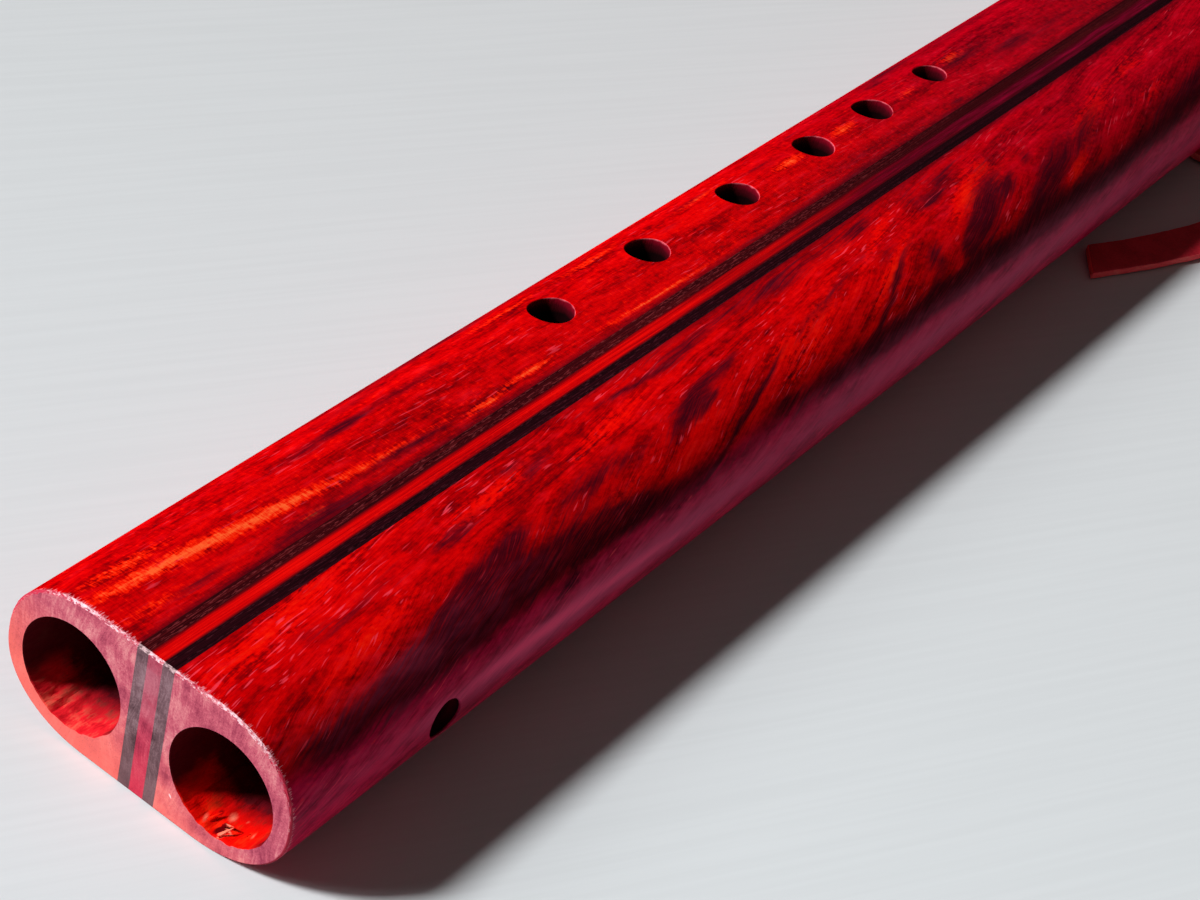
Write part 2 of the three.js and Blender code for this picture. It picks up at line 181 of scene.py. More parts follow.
# The middle of each free end, from the knot to the cut tip
longTailRoute = [
    (0.1629, -0.0335, 0.0240), (0.1629, -0.0343, 0.0214), (0.1614, -0.0357, 0.0174),
    (0.1578, -0.0375, 0.0134), (0.1526, -0.0395, 0.0100), (0.1462, -0.0415, 0.0070),
    (0.1384, -0.0436, 0.0050), (0.1290, -0.0458, 0.0038), (0.1180, -0.0479, 0.0029),
    (0.1055, -0.0499, 0.0021), (0.0920, -0.0515, 0.0016), (0.0770, -0.0527, 0.0014),
    (0.0610, -0.0532, 0.0014), (0.0450, -0.0526, 0.0014), (0.0305, -0.0508, 0.0014),
    (0.0170, -0.0480, 0.0014), (0.0054, -0.0446, 0.0014), (-0.0096, -0.0387, 0.0014),
    (-0.0237, -0.0321, 0.0014),
]
shortTailRoute = [
    (0.1417, -0.0311, 0.0310), (0.1376, -0.0312, 0.0309), (0.1324, -0.0316, 0.0299),
    (0.1264, -0.0324, 0.0276), (0.1200, -0.0336, 0.0243), (0.1134, -0.0349, 0.0203),
    (0.1064, -0.0360, 0.0159), (0.0992, -0.0368, 0.0117), (0.0916, -0.0371, 0.0081),
    (0.0834, -0.0369, 0.0052), (0.0748, -0.0361, 0.0032), (0.0656, -0.0349, 0.0021),
    (0.0550, -0.0332, 0.0016), (0.0440, -0.0313, 0.0014),
]


def eased(share):
    return share * share * (3 - 2 * share)


def runAlong(rows):
    # how far along a line each of its rows is, by the first three numbers of each
    lengths = np.linalg.norm(np.diff(rows[:, :3], axis=0), axis=1)
    return np.concatenate([[0], np.cumsum(lengths)])


def evenly(values, step):
    # the same line through points or longer rows of numbers, at even steps
    rows = np.array(values, float)
    run = runAlong(rows)
    stops = np.linspace(0, run[-1], max(round(run[-1] / step), 2) + 1)
    return np.stack([np.interp(stops, run, column) for column in rows.T], 1)


def smoothLine(route, step):
    points = [Vector(point) for point in route]
    points = [2 * points[0] - points[1], *points, 2 * points[-1] - points[-2]]
    fine = []
    for a, b, c, d in zip(points, points[1:], points[2:], points[3:]):
        fine += interpolate_bezier(b, b + (c - a) / 6, c - (d - b) / 6, c, 12)[:-1]
    return [Vector(row) for row in evenly([*fine, points[-2]], step)]


def headingAt(centres, k):
    before, after = centres[max(k - 1, 0)], centres[min(k + 1, len(centres) - 1)]
    return (after - before).normalized()


def layStrap(name, centres, faces, slant=0.0):
    # a flat grid laid along the centres, its face turned to each given direction
    steps, across = len(centres) - 1, lace["acrossSteps"]
    bpy.ops.mesh.primitive_grid_add(x_subdivisions=steps, y_subdivisions=across, size=1)
    strap = named(name)
    chance = random.Random(name)
    wander = [[0, 0] for _ in centres]
    for k in range(1, len(centres)):
        wander[k] = [0.8 * w + chance.uniform(-0.5, 0.5) for w in wander[k - 1]]
    for vert in strap.data.vertices:
        k = round((vert.co.x + 0.5) * steps)
        shareAcross = vert.co.y
        along = headingAt(centres, k)
        side = faces[k].cross(along).normalized()
        offset = shareAcross * lace["width"]
        if abs(shareAcross) > 0.49:
            offset += wander[k][shareAcross > 0] * lace["raggedEdge"]
        toEnd = (steps - k) * (centres[1] - centres[0]).length / mm
        skew = slant * shareAcross * max(0, 1 - toEnd / lace["tipReach"]) ** 0.5
        vert.co = centres[k] + side * offset * mm + along * skew * mm
    for slot in ("face", "edge"):
        strap.data.materials.append(bpy.data.materials.get(slot) or bpy.data.materials.new(slot))
    applyModifier(strap, "SOLIDIFY", thickness=lace["thickness"] * mm, offset=0,
                  material_offset_rim=1)
    applyModifier(strap, "BEVEL", width=lace["edgeRound"] * mm, segments=3, limit_method="ANGLE",
                  angle_limit=math.radians(50))
    facesOut(strap)
    smooth(strap, 50)
    return strap


def makeTail(name, route, fallShare, node, slant):
    centres = smoothLine(route, lace["step"] * mm)
    tilt = lace["restingTilt"]
    flat = Vector((0, -math.sin(tilt), math.cos(tilt)))
    faces = []
    for k in range(len(centres)):
        turned = eased(min(k / (len(centres) - 1) / fallShare, 1))
        faces.append(knotFace.lerp(flat, turned).normalized())
    tail = layStrap(name, centres, faces, slant)
    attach(tail, "flute_body")
    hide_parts(node)
    return tail


longTail = makeTail("lace_long_end", longTailRoute, 0.45, "lace_long_tail", lace["tipSlant"])
shortTail = makeTail("lace_short_end", shortTailRoute, 0.7, "lace_short_tail", -3.0)
print("lace ends ready")

# Body outline: a flat top and underside joined by superellipse shoulders
body = {
    "width": 63.0,
    "height": 32.0,
    "flatHalfWidth": 12.2,
    "topExponent": 2.3,
    "bottomExponent": 2.12,
    "length": 580.0,
    "boreDiameter": 22.2,
    "boreHeight": 15.1,
    "boreSpacing": 33.5,
    "darkStrip": 2.5,
    "centreStrip": 3.1,
    "arris": 0.5,
    "arrisSegments": 5,
    "raggedArris": 0.13,
    "outlinePoints": 420,
    "rings": 16,
    "nestStart": 411.0,
    "nestEnd": 509.3,
    "nestRamp": 6.0,
    "nestZ": 29.2,
    "grooveSpan": (451.3, 484.5),
    "grooveDepth": 2.2,
    "cutterReach": 40.0,  # well clear of the body to the sides and above
}
shoulder = body["width"] / 2 - body["flatHalfWidth"]
boreRadius = body["boreDiameter"] / 2
boreY = body["boreSpacing"] / 2
boreZ = body["boreHeight"]


def riseAt(up):
    return body["height"] - boreZ if up >= 0 else boreZ


def exponentAt(up):
    return body["topExponent"] if up >= 0 else body["bottomExponent"]


def outlinePoint(angle):
    cosine, sine = math.cos(angle), math.sin(angle)
    power = 2 / exponentAt(sine)
    across = body["flatHalfWidth"] + shoulder * abs(cosine) ** power
    up = riseAt(sine) * abs(sine) ** power
    return math.copysign(across, cosine), boreZ + math.copysign(up, sine)


def topHeight(y):
    power = body["topExponent"]
    share = min(max(abs(y) - body["flatHalfWidth"], 0) / shoulder, 1)
    return boreZ + riseAt(1) * (1 - share**power) ** (1 / power)


def sideReach(z):
    power = exponentAt(z - boreZ)
    share = min(abs(z - boreZ) / riseAt(z - boreZ), 1)
    return body["flatHalfWidth"] + shoulder * (1 - share**power) ** (1 / power)


def evenOutline(count):
    fine = [(*outlinePoint(2 * math.pi * k / 4000), 0) for k in range(4001)]
    perimeter = np.linalg.norm(np.diff(np.array(fine), axis=0), axis=1).sum()
    return evenly(fine, perimeter / count)[:count, :2]


def outlineFace(name, x, count):
    bpy.ops.mesh.primitive_circle_add(vertices=count, radius=1, fill_type="NGON")
    piece = named(name)
    for vert, (y, z) in zip(piece.data.vertices, evenOutline(count)):
        vert.co = place(x, y, z)
    return piece


def extrudeTo(xStops):
    # the selected face is drawn out from the first stop through the rest
    for a, b in zip(xStops, xStops[1:]):
        shift = {"value": ((b - a) * mm, 0, 0)}
        bpy.ops.mesh.extrude_region_move(TRANSFORM_OT_translate=shift)


def gluedBlank():
    blank = outlineFace("blank", 0, body["outlinePoints"])
    pickAll(blank)
    extrudeTo(list(np.linspace(0, body["length"], body["rings"] + 1)))
    objectMode()
    facesOut(blank)
    pickEdges(blank, lambda a, b: max(a.x, b.x) < footX + 0.01 * mm)
    bpy.ops.mesh.bevel(offset=body["arris"] * mm, segments=body["arrisSegments"])
    objectMode()
    chance = random.Random(4)
    for vert in blank.data.vertices:
        height = (vert.co.z / mm - boreZ) / riseAt(1)
        fromFoot = (vert.co.x - footX) / mm
        if fromFoot < body["arris"] * 0.95 and height > 0:
            ragged = body["raggedArris"] * min(height * 1.4, 1) * mm
            vert.co.x += chance.uniform(0, 1) * ragged * (fromFoot > 0.01)
            vert.co.z += chance.uniform(-1, 0.5) * ragged
            clearOfStrips = abs(vert.co.y) > 4.2 * mm
            vert.co.y += chance.uniform(-1, 1) * ragged * clearOfStrips
    reach = body["cutterReach"]
    nest = cutterBox((body["nestStart"], -reach, body["nestZ"]), (body["nestEnd"], reach, reach))
    middle = place((body["nestStart"] + body["nestEnd"]) / 2, 0, 0).x
    slope = body["nestRamp"] / (body["height"] - body["nestZ"])
    for vert in nest.data.vertices:
        isFloor = vert.co.z < body["height"] * mm
        inwards = body["nestRamp"] if isFloor else -slope * (reach - body["height"])
        vert.co.x += inwards * mm if vert.co.x < middle else -inwards * mm
    cut(blank, nest)
    return blank


def drillOutline(segments, radius, levels):
    # a round cutter along +Z from its own origin, one ring at each level
    bpy.ops.mesh.primitive_circle_add(vertices=segments, radius=radius * mm, fill_type="NGON")
    drill = named("drill")
    pickAll(drill)
    for a, b in zip(levels, levels[1:]):
        shift = {"value": (0, 0, (b - a) * mm)}
        bpy.ops.mesh.extrude_region_move(TRANSFORM_OT_translate=shift)
    objectMode()
    facesOut(drill)
    return drill


# Bores: drilled from the foot, with torn grain along the lower part of the mouth
bore = {
    "segments": 112,
    "lip": 0.12,
    "tornLength": 30.0,
    "tornDepth": 0.38,
    "tornStep": 0.8,
    "tornFade": 14.0,  # how long the torn part takes to end
    "beyond": 2.0,
}


def boreDrill(y, seed):
    torn = list(np.arange(bore["tornStep"], bore["tornLength"], bore["tornStep"]))
    levels = [-bore["beyond"], 0, 0.25, *torn, body["length"] + bore["beyond"]]
    drill = drillOutline(bore["segments"], boreRadius, levels)
    for vert in drill.data.vertices:
        along = vert.co.z / mm - bore["beyond"]
        angle = math.atan2(vert.co.y, vert.co.x)  # half a turn is the bottom, after the turn below
        low = max(0, -math.cos(angle) - 0.15)
        grow = bore["lip"] if along < 0.1 else 0
        if -0.1 < along < bore["tornLength"]:
            fade = min(1, (bore["tornLength"] - along) / bore["tornFade"])
            fibres = noise.noise(Vector((along * 0.22, angle * 9, seed)))
            chips = noise.noise(Vector((along * 0.55, angle * 4.5, seed + 7)))
            grow += bore["tornDepth"] * low * fade * (fibres + chips)
        scale = 1 + grow / boreRadius
        vert.co = Vector((vert.co.x * scale, vert.co.y * scale, vert.co.z - bore["beyond"] * mm))
    turn = Matrix(((0, 0, 1), (0, 1, 0), (1, 0, 0)))  # drill axis to +X, its own +X to +Z
    drill.data.transform(Matrix.Translation(place(0, y, boreZ)) @ turn.to_4x4())
    facesOut(drill)
    return drill


# Tone holes: crisp, with a hair of rounding that follows the body's surface
hole = {
    "diameter": 9.3,
    "lastDiameter": 7.9,
    "xFromFoot": [127.9, 160.7, 194.0, 224.4, 249.5, 275.4],
    "droneDiameter": 7.9,
    "droneX": 40.0,
    "segments": 72,
    "lipRise": [-0.35, -0.1, 0.06, 0.5],
    "lipGrow": [0.0, 0.07, 0.26, 0.75],
}


def holeDrill(radius, surfaceHeight, turn, centre):
    # surfaceHeight gives the body's surface above the drill's start, for a place across it
    rings = 1 + len(hole["lipRise"])
    drill = drillOutline(hole["segments"], radius, list(range(rings)))
    for vert in drill.data.vertices:
        ring = round(vert.co.z / mm)
        grow = hole["lipGrow"][ring - 1] if ring else 0
        across = vert.co.to_2d() * (1 + grow / radius)
        rise = surfaceHeight(across.y / mm) + hole["lipRise"][ring - 1] if ring else 0
        vert.co = (across.x, across.y, rise * mm)
    drill.data.transform(Matrix.Translation(centre) @ turn.to_4x4())
    facesOut(drill)
    return drill


def toneDrill(x, diameter):
    top = lambda across: topHeight(boreY + across) - boreZ
    return holeDrill(diameter / 2, top, Matrix.Identity(3), place(x, boreY, boreZ))


def droneDrill():
    # the drill's own +Y is the height here, and its axis points to -Y
    reach = lambda across: sideReach(boreZ + across) - boreY
    turn = Matrix(((1, 0, 0), (0, 0, -1), (0, 1, 0)))
    return holeDrill(hole["droneDiameter"] / 2, reach, turn, place(hole["droneX"], -boreY, boreZ))


# Windway: sound hole with its splitting edge, flue, and the hole from the air chamber
windway = {
    "soundHole": (425.0, 432.0),
    "chamberHole": (446.0, 453.0),
    "width": 9.5,
    "flueDepth": 1.0,
    "edgeRamp": 4.0,
    "cutterTop": 36.0,  # clear of the body's top
}


def windwayDrills(y):
    low, high, top = y - windway["width"] / 2, y + windway["width"] / 2, windway["cutterTop"]
    front, back = windway["soundHole"]
    middle = place((front + back) / 2, 0, 0).x
    sound = cutterBox((front, low, boreZ), (back, high, top))
    for vert in sound.data.vertices:
        if vert.co.z < body["height"] * mm and vert.co.x < middle:
            vert.co.x -= windway["edgeRamp"] * mm
    start, end = windway["chamberHole"]
    flueFloor = body["nestZ"] - windway["flueDepth"]
    flue = cutterBox((back - 2, low, flueFloor), (start + 2, high, top))
    chamber = cutterBox((start, low, boreZ), (end, high, top))
    return sound, flue, chamber


def layerOf(blank, name, yLow, yHigh):
    layer = copyOf(blank, name)
    for y, keepsAbove in ((yLow, True), (yHigh, False)):
        pickAll(layer)
        bpy.ops.mesh.bisect(plane_co=(0, y * mm, 0), plane_no=(0, 1, 0), use_fill=True,
                            clear_inner=keepsAbove, clear_outer=not keepsAbove)
        objectMode()
    return layer


blank = gluedBlank()
grooveStart, grooveEnd = body["grooveSpan"]
cut(blank, cutterBox((grooveStart, -body["cutterReach"], -10),
                     (grooveEnd, body["cutterReach"], body["grooveDepth"])))
stripY = body["centreStrip"] / 2
stackY = stripY + body["darkStrip"]
edgeY = body["width"]  # well past either side
melodyBarrel = layerOf(blank, "melody_barrel_wood", stackY, edgeY)
melodyStrip = layerOf(blank, "melody_dark_strip_wood", stripY, stackY)
centreStrip = layerOf(blank, "centre_strip_wood", -stripY, stripY)
droneStrip = layerOf(blank, "drone_dark_strip_wood", -stackY, -stripY)
droneBarrel = layerOf(blank, "drone_barrel_wood", -edgeY, -stackY)
bpy.data.objects.remove(blank)
print("body glued and split into its layers")

cut(melodyBarrel, boreDrill(boreY, seed=3))
cut(droneBarrel, boreDrill(-boreY, seed=11))
for x in hole["xFromFoot"]:
    isLast = x == hole["xFromFoot"][-1]
    cut(melodyBarrel, toneDrill(x, hole["lastDiameter"] if isLast else hole["diameter"]))
cut(droneBarrel, droneDrill())
for barrel, side in ((melodyBarrel, 1), (droneBarrel, -1)):
    for drill in windwayDrills(side * boreY):
        cut(barrel, drill)
print("bores, holes and windways cut")

# Splinters: slivers of torn grain standing up in the mouth of the drone bore
splinter = {
    "thickness": 0.42,
    "rows": [((0.3, -17.7, 4.4), (2.5, -19.2, 6.0)), ((2.9, -16.7, 4.3), (2.4, -19.0, 6.0)),
             ((2.0, -14.2, 4.1), (4.2, -15.0, 5.0)), ((1.4, -20.6, 4.3), (3.9, -21.4, 5.2))],
}


def addSplinters(barrel):
    for start, end in splinter["rows"]:
        start, end = place(*start), place(*end)
        bpy.ops.mesh.primitive_cone_add(vertices=6, radius1=splinter["thickness"] * mm,
                                        radius2=splinter["thickness"] * 0.15 * mm,
                                        depth=(end - start).length, location=(start + end) / 2)
        sliver = bpy.context.object
        sliver.rotation_euler = (end - start).to_track_quat("Z", "Y").to_euler()
        cut(barrel, settle(named("sliver")), "UNION")


addSplinters(droneBarrel)

layers = {
    "melody_barrel": (melodyBarrel, "melody_wood"),
    "melody_dark_strip": (melodyStrip, "dark_strip_wood"),
    "centre_strip": (centreStrip, "centre_strip_wood"),
    "drone_dark_strip": (droneStrip, "dark_strip_wood"),
    "drone_barrel": (droneBarrel, "drone_wood"),
}
for node, (layer, slotName) in layers.items():
    smooth(layer, 19)
    applyModifier(layer, "WEIGHTED_NORMAL", keep_sharp=True)
    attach(layer, "flute_body")
    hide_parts(node)

# Mouthpiece: the body's own outline drawn in to a rounded lip
mouthpiece = {
    "start": 580.0,
    "length": 40.0,
    "lipWidthShare": 0.62,
    "lipHeightShare": 0.46,
    "stopShares": [0, 0.08, 0.16, 0.24, 0.32, 0.4, 0.48, 0.56, 0.64, 0.72, 0.8, 0.86, 0.91,
                   0.95, 0.98, 1],
    "roundFromShare": 0.8,
    "roundDropShare": 0.15,
    "breathDiameter": 7.0,
    "breathSpacing": 23.0,
    "breathFlare": 0.12,
    "tenonLength": 8.0,
    "tenonGap": 0.3,
    "outlinePoints": 280,
    "drillSegments": 48,
}
alongX = Matrix(((0, 0, 1), (0, 1, 0), (-1, 0, 0))).to_4x4()  # turns a drill's axis to +X


def lipScale(share):
    # how wide and high the outline is at a share of the mouthpiece's length
    ease = eased(share)
    past = max(0, share - mouthpiece["roundFromShare"]) / (1 - mouthpiece["roundFromShare"])
    drawn = math.sqrt(1 - past**2 * (1 - (1 - mouthpiece["roundDropShare"]) ** 2))
    wide = 1 + (mouthpiece["lipWidthShare"] - 1) * ease
    high = 1 + (mouthpiece["lipHeightShare"] - 1) * ease
    return wide * drawn, high * drawn


def makeMouthpiece():
    start, length = mouthpiece["start"], mouthpiece["length"]
    piece = outlineFace("mouthpiece_wood", start, mouthpiece["outlinePoints"])
    pickAll(piece)
    stops = mouthpiece["stopShares"]
    for a, b in zip(stops, stops[1:]):
        (wideA, highA), (wideB, highB) = lipScale(a), lipScale(b)
        extrudeTo([start + a * length, start + b * length])
        centre = place(start + b * length, 0, boreZ)
        bpy.ops.transform.resize(value=(1, wideB / wideA, highB / highA), center_override=centre)
    objectMode()
    facesOut(piece)
    tenon, segments = mouthpiece["tenonLength"], mouthpiece["drillSegments"]
    for side in (1, -1):
        plug = drillOutline(segments, boreRadius - mouthpiece["tenonGap"], [0, 2 * tenon])
        plug.data.transform(Matrix.Translation(place(start - tenon, side * boreY, boreZ)) @ alongX)
        cut(piece, plug, "UNION")
    run = tenon + length
    for side in (1, -1):
        stops = [0, run, run + 1.2, run + 3]  # starts 1 mm inside the chamber, flared from the second
        drill = drillOutline(segments, mouthpiece["breathDiameter"] / 2, stops)
        for vert in drill.data.vertices:
            if vert.co.z > (run + 1.1) * mm:
                vert.co.x *= 1 + (vert.co.z / mm - run) * mouthpiece["breathFlare"]
                vert.co.y *= 1 + (vert.co.z / mm - run) * mouthpiece["breathFlare"]
        spot = place(start - tenon - 1, side * mouthpiece["breathSpacing"] / 2, boreZ)
        drill.data.transform(Matrix.Translation(spot) @ alongX)
        cut(piece, drill)
    smooth(piece, 40)
    return piece


mouthWood = makeMouthpiece()
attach(mouthWood, "flute_body")
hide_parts("mouthpiece")
print("mouthpiece ready")

# Blocks: flat underneath, a rounded hump each side of the saddle that the lace holds down
birdBlock = {
    "frontHeight": 16.0,
    "rearHeight": 14.0,
    "frontLength": 14.0,
    "rearLength": 12.0,
    "frontRound": 10.5,
    "rearRound": 8.5,
    "saddleHeight": 9.0,
    "edgeRound": 1.2,
}


def makeBlock(name, node):
    low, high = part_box(node)
    piece = boxBetween(low, high, name)
    near = 0.01 * mm
    pickEdges(piece, lambda a, b: min(a.x, b.x) > high.x - near and min(a.z, b.z) > high.z - near)
    drop = (birdBlock["rearHeight"] - birdBlock["frontHeight"]) * mm
    bpy.ops.transform.translate(value=(0, 0, drop))
    bpy.ops.mesh.bevel(offset=birdBlock["rearRound"] * mm, segments=12)
    objectMode()
    pickEdges(piece, lambda a, b: max(a.x, b.x) < low.x + near and min(a.z, b.z) > high.z - near)
    bpy.ops.mesh.bevel(offset=birdBlock["frontRound"] * mm, segments=14)
    objectMode()
    beyond = 5 * mm
    saddleLow = Vector((low.x + birdBlock["frontLength"] * mm, low.y - beyond,
                        low.z + birdBlock["saddleHeight"] * mm))
    saddleHigh = Vector((high.x - birdBlock["rearLength"] * mm, high.y + beyond, high.z + beyond))
    cut(piece, boxBetween(saddleLow, saddleHigh))
    applyModifier(piece, "BEVEL", width=birdBlock["edgeRound"] * mm, segments=4,
                  limit_method="ANGLE", angle_limit=math.radians(35))
    smooth(piece, 40)
    applyModifier(piece, "WEIGHTED_NORMAL", keep_sharp=True)
    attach(piece, node)
    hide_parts(node)
    return piece


melodyBlock = makeBlock("melody_block_wood", "melody_block")
droneBlock = makeBlock("drone_block_wood", "drone_block")
print("blocks ready")

# Lace winding: two turns round the body and over both saddles
winding = {
    "turns": 2,
    "turnGap": 0.8,
    "front": 452.1,
    "clearance": 0.3,
    "saddleY": 25.25,
    "saddleZ": 38.3,
    "cornerDegrees": 9,
    "knotUnder": 5.0,  # how far from the knot's middle its two ends stop, hidden by the knot
}
pitch = lace["width"] + winding["turnGap"]
laceCentre = winding["front"] + (lace["width"] + winding["turns"] * pitch) / 2


def laceHull():
    low, high = body["grooveDepth"], body["nestZ"]
    points = [tuple(p) for p in evenOutline(160) if low <= p[1] <= high]
    points += [(side * sideReach(z), z) for side in (1, -1) for z in (low, high)]
    points += [(side * winding["saddleY"], winding["saddleZ"]) for side in (1, -1)]
    hull = [points[k] for k in convex_hull_2d(points)]
    area = sum(a[0] * b[1] - b[0] * a[1] for a, b in zip(hull, hull[1:] + hull[:1]))
    hull = hull if area > 0 else hull[::-1]
    corner = hull.index((-winding["saddleY"], winding["saddleZ"]))
    return hull[corner + 1:] + hull[:corner + 1]


def laceLoop():
    # rows of (y, z, 0, facing y, facing z) at the lace's middle, starting behind the knot
    hull = laceHull()
    offset = winding["clearance"] + lace["thickness"] / 2
    heading = lambda a, b: math.atan2(a[0] - b[0], b[1] - a[1])
    middle = ((hull[-1][0] + hull[0][0]) / 2, (hull[-1][1] + hull[0][1]) / 2)
    rows = []

    def add(point, angle):
        cosine, sine = math.cos(angle), math.sin(angle)
        rows.append((point[0] + cosine * offset, point[1] + sine * offset, 0, cosine, sine))

    first = heading(hull[-1], hull[0])
    add(middle, first)
    for k, point in enumerate(hull):
        angle = heading(hull[k - 1], point)
        swing = (heading(point, hull[(k + 1) % len(hull)]) - angle) % (2 * math.pi)
        steps = max(1, math.ceil(swing / math.radians(winding["cornerDegrees"])))
        for step in range(steps + 1):
            add(point, angle + swing * step / steps)
    add(middle, first)
    return evenly(rows, lace["step"]), Vector((0, *middle)), first


loopRows, knotSpot, knotAngle = laceLoop()


def makeWinding():
    around = len(loopRows) - 1
    centres, faces = [], []
    hidden = round(winding["knotUnder"])
    for turn in range(winding["turns"]):
        for k, (y, z, _, faceY, faceZ) in enumerate(loopRows[:-1]):
            run = turn * around + k
            if run < hidden or run > winding["turns"] * around - hidden:
                continue
            x = laceCentre + pitch * (run / around - winding["turns"] / 2)
            centres.append(place(x, y, z))
            faces.append(Vector((0, faceY, faceZ)))
    strap = layStrap("lace_winding_leather", centres, faces)
    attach(strap, "flute_body")
    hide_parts("lace_winding")
    return strap


windingLeather = makeWinding()

# Knot: a strap laid across the windings and a second one thrown over it. The rows give mm along
# the flute, up the face and out of the face, and the turn of the face in degrees.
knot = {
    "bridge": [(-15.9, 0.0, 3.4, 0), (-8.0, 0.2, 3.3, 0), (0.0, 0.3, 3.2, 0), (8.0, 0.2, 3.3, 0),
               (12.6, 0.0, 3.3, 0), (14.9, 0.0, 2.9, 0), (15.4, 0.0, 1.3, 0)],
    "throw": [(-4.6, 3.2, 2.7, 150), (-4.5, 5.4, 2.9, 110), (-4.1, 6.1, 4.0, 80), (-3.4, 5.6, 5.3, 35),
              (-2.0, 3.0, 6.2, 8), (0.3, 0.0, 6.4, 0), (2.5, -3.0, 6.0, -12), (4.0, -5.2, 5.0, -22),
              (4.8, -6.5, 4.1, -14), (5.0, -7.2, 3.7, 0)],
}
knotOut = Vector((0, math.cos(knotAngle), math.sin(knotAngle)))
knotUp = knotOut.cross(Vector((1, 0, 0)))


def knotPoint(along, up, out):
    shift = Vector((along, 0, 0)) + knotUp * up + knotOut * out
    return place(laceCentre, *knotSpot.yz) + shift * mm


def makeKnot():
    straps = []
    for part in ("bridge", "throw"):
        line = smoothLine([row[:3] for row in knot[part]], 0.5)
        turns = np.interp(np.linspace(0, 1, len(line)), np.linspace(0, 1, len(knot[part])),
                          [row[3] for row in knot[part]])
        centres = [knotPoint(*point) for point in line]
        faces = []
        for k, turn in enumerate(np.radians(turns)):
            along = headingAt(centres, k)
            wanted = knotOut * math.cos(turn) + knotUp * math.sin(turn)
            faces.append(along.cross(knotUp) if part == "bridge" else wanted)
        straps.append(layStrap(f"lace_knot_{part}", centres, faces))
    makeActive(straps[0])
    straps[1].select_set(True)
    bpy.ops.object.join()
    piece = named("lace_knot_leather")
    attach(piece, "flute_body")
    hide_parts("lace_knot")
    return piece


knotLeather = makeKnot()
print("lace winding and knot ready")

# Table
table = {"size": 40.0}  # wide enough to fill every view of the flute
bpy.ops.mesh.primitive_plane_add(size=table["size"], location=(0, 0, 0))
tableTop = named("table")

# Light: one window as a narrow and a wide sun, in a dim room
light = {
    "towards": (-0.570, 0.541, 0.618),
    "keyDegrees": 8.0,
    "keyPower": 3.8,
    "wideTowards": (-0.574, 0.622, 0.532),
    "wideDegrees": 23.0,
    "widePower": 1.05,
    "skyLow": 0.55,
    "skyHigh": 0.05,
    "skyTone": "#fff0ea",
}


def makeSun(name, towards, power, degrees):
    bpy.ops.object.light_add(type="SUN", location=(0, 0, 1))
    sun = bpy.context.object
    sun.name = name
    sun.data.energy = power
    sun.data.angle = math.radians(degrees)
    sun.rotation_euler = Vector(towards).to_track_quat("Z", "Y").to_euler()


makeSun("key", light["towards"], light["keyPower"], light["keyDegrees"])
makeSun("wide", light["wideTowards"], light["widePower"], light["wideDegrees"])


# Materials. Patterns work in millimetres, from Object coordinates or from a barrel's skin map
def colour(hexColour):
    parts = [int(hexColour[k:k + 2], 16) / 255 for k in (1, 3, 5)]
    return (*[p / 12.92 if p <= 0.04045 else ((p + 0.055) / 1.055) ** 2.4 for p in parts], 1)


def openTree(owner):
    # the nodes added from here on go into this material or world
    global tree
    owner.use_nodes = True
    tree = owner.node_tree
    tree.nodes.clear()
    return owner


def paint(name, surface, *values, **more):
    # a new material, whose nodes the surface function adds
    material = openTree(bpy.data.materials.new(name))
    surface(*values, **more)
    return material


def addNode(kind, inputs=None, **settings):
    # adds a node, sets it up, and links each input that is given as another node's output
    node = tree.nodes.new("ShaderNode" + kind)
    for name, value in settings.items():
        setattr(node, name, value)
    for name, value in (inputs or {}).items():
        if isinstance(value, bpy.types.NodeSocket):
            tree.links.new(value, node.inputs[name])
        else:
            node.inputs[name].default_value = value
    return node


def calc(operation, *values):
    return addNode("Math", dict(enumerate(values)), operation=operation).outputs[0]


def plus(a, b):
    return calc("ADD", a, b)


def minus(a, b):
    return calc("SUBTRACT", a, b)


def times(a, b):
    return calc("MULTIPLY", a, b)


def mulAdd(value, factor, offset):
    return calc("MULTIPLY_ADD", value, factor, offset)


def ranged(value, low, high, toLow=0.0, toHigh=1.0):
    limits = {"Value": value, "From Min": low, "From Max": high, "To Min": toLow, "To Max": toHigh}
    return addNode("MapRange", limits, interpolation_type="SMOOTHSTEP").outputs[0]


def blend(share, first, second, kind="MIX"):
    inputs = {"Factor": share, 6: first, 7: second}
    return addNode("Mix", inputs, data_type="RGBA", blend_type=kind).outputs[2]


def tinted(tone, share, hexColour):
    return blend(share, tone, colour(hexColour))


def ramped(level, ramp):
    # a colour ramp, its stops given from low to high
    node = addNode("ValToRGB", {"Fac": level})
    stops = node.color_ramp.elements
    for stop, (position, tone) in zip((stops[0], stops[1]), (ramp[0], ramp[-1])):
        stop.position, stop.color = position, colour(tone)
    for position, tone in ramp[1:-1]:
        stops.new(position).color = colour(tone)
    return node.outputs[0]


def scaled(point, scale):
    inputs = {0: point, 1: scale}
    return addNode("VectorMath", inputs, operation="MULTIPLY").outputs[0]


def grain(point, size, detail=2.0, roughness=0.5):
    # noise whose blotches are about the given size in millimetres
    inputs = {"Vector": scaled(point, [1 / side for side in size]), "Scale": 1.0,
              "Detail": detail, "Roughness": roughness}
    return addNode("TexNoise", inputs).outputs[0]


def objectPoint():
    return scaled(addNode("TexCoord").outputs["Object"], [1 / mm] * 3)


def skinPoint():
    return scaled(addNode("UVMap", uv_map="skin").outputs[0], [1 / mm] * 3)


def parts(point):
    return addNode("SeparateXYZ", {0: point}).outputs


def joined(x, y, z=0.0):
    return addNode("CombineXYZ", {0: x, 1: y, 2: z}).outputs[0]


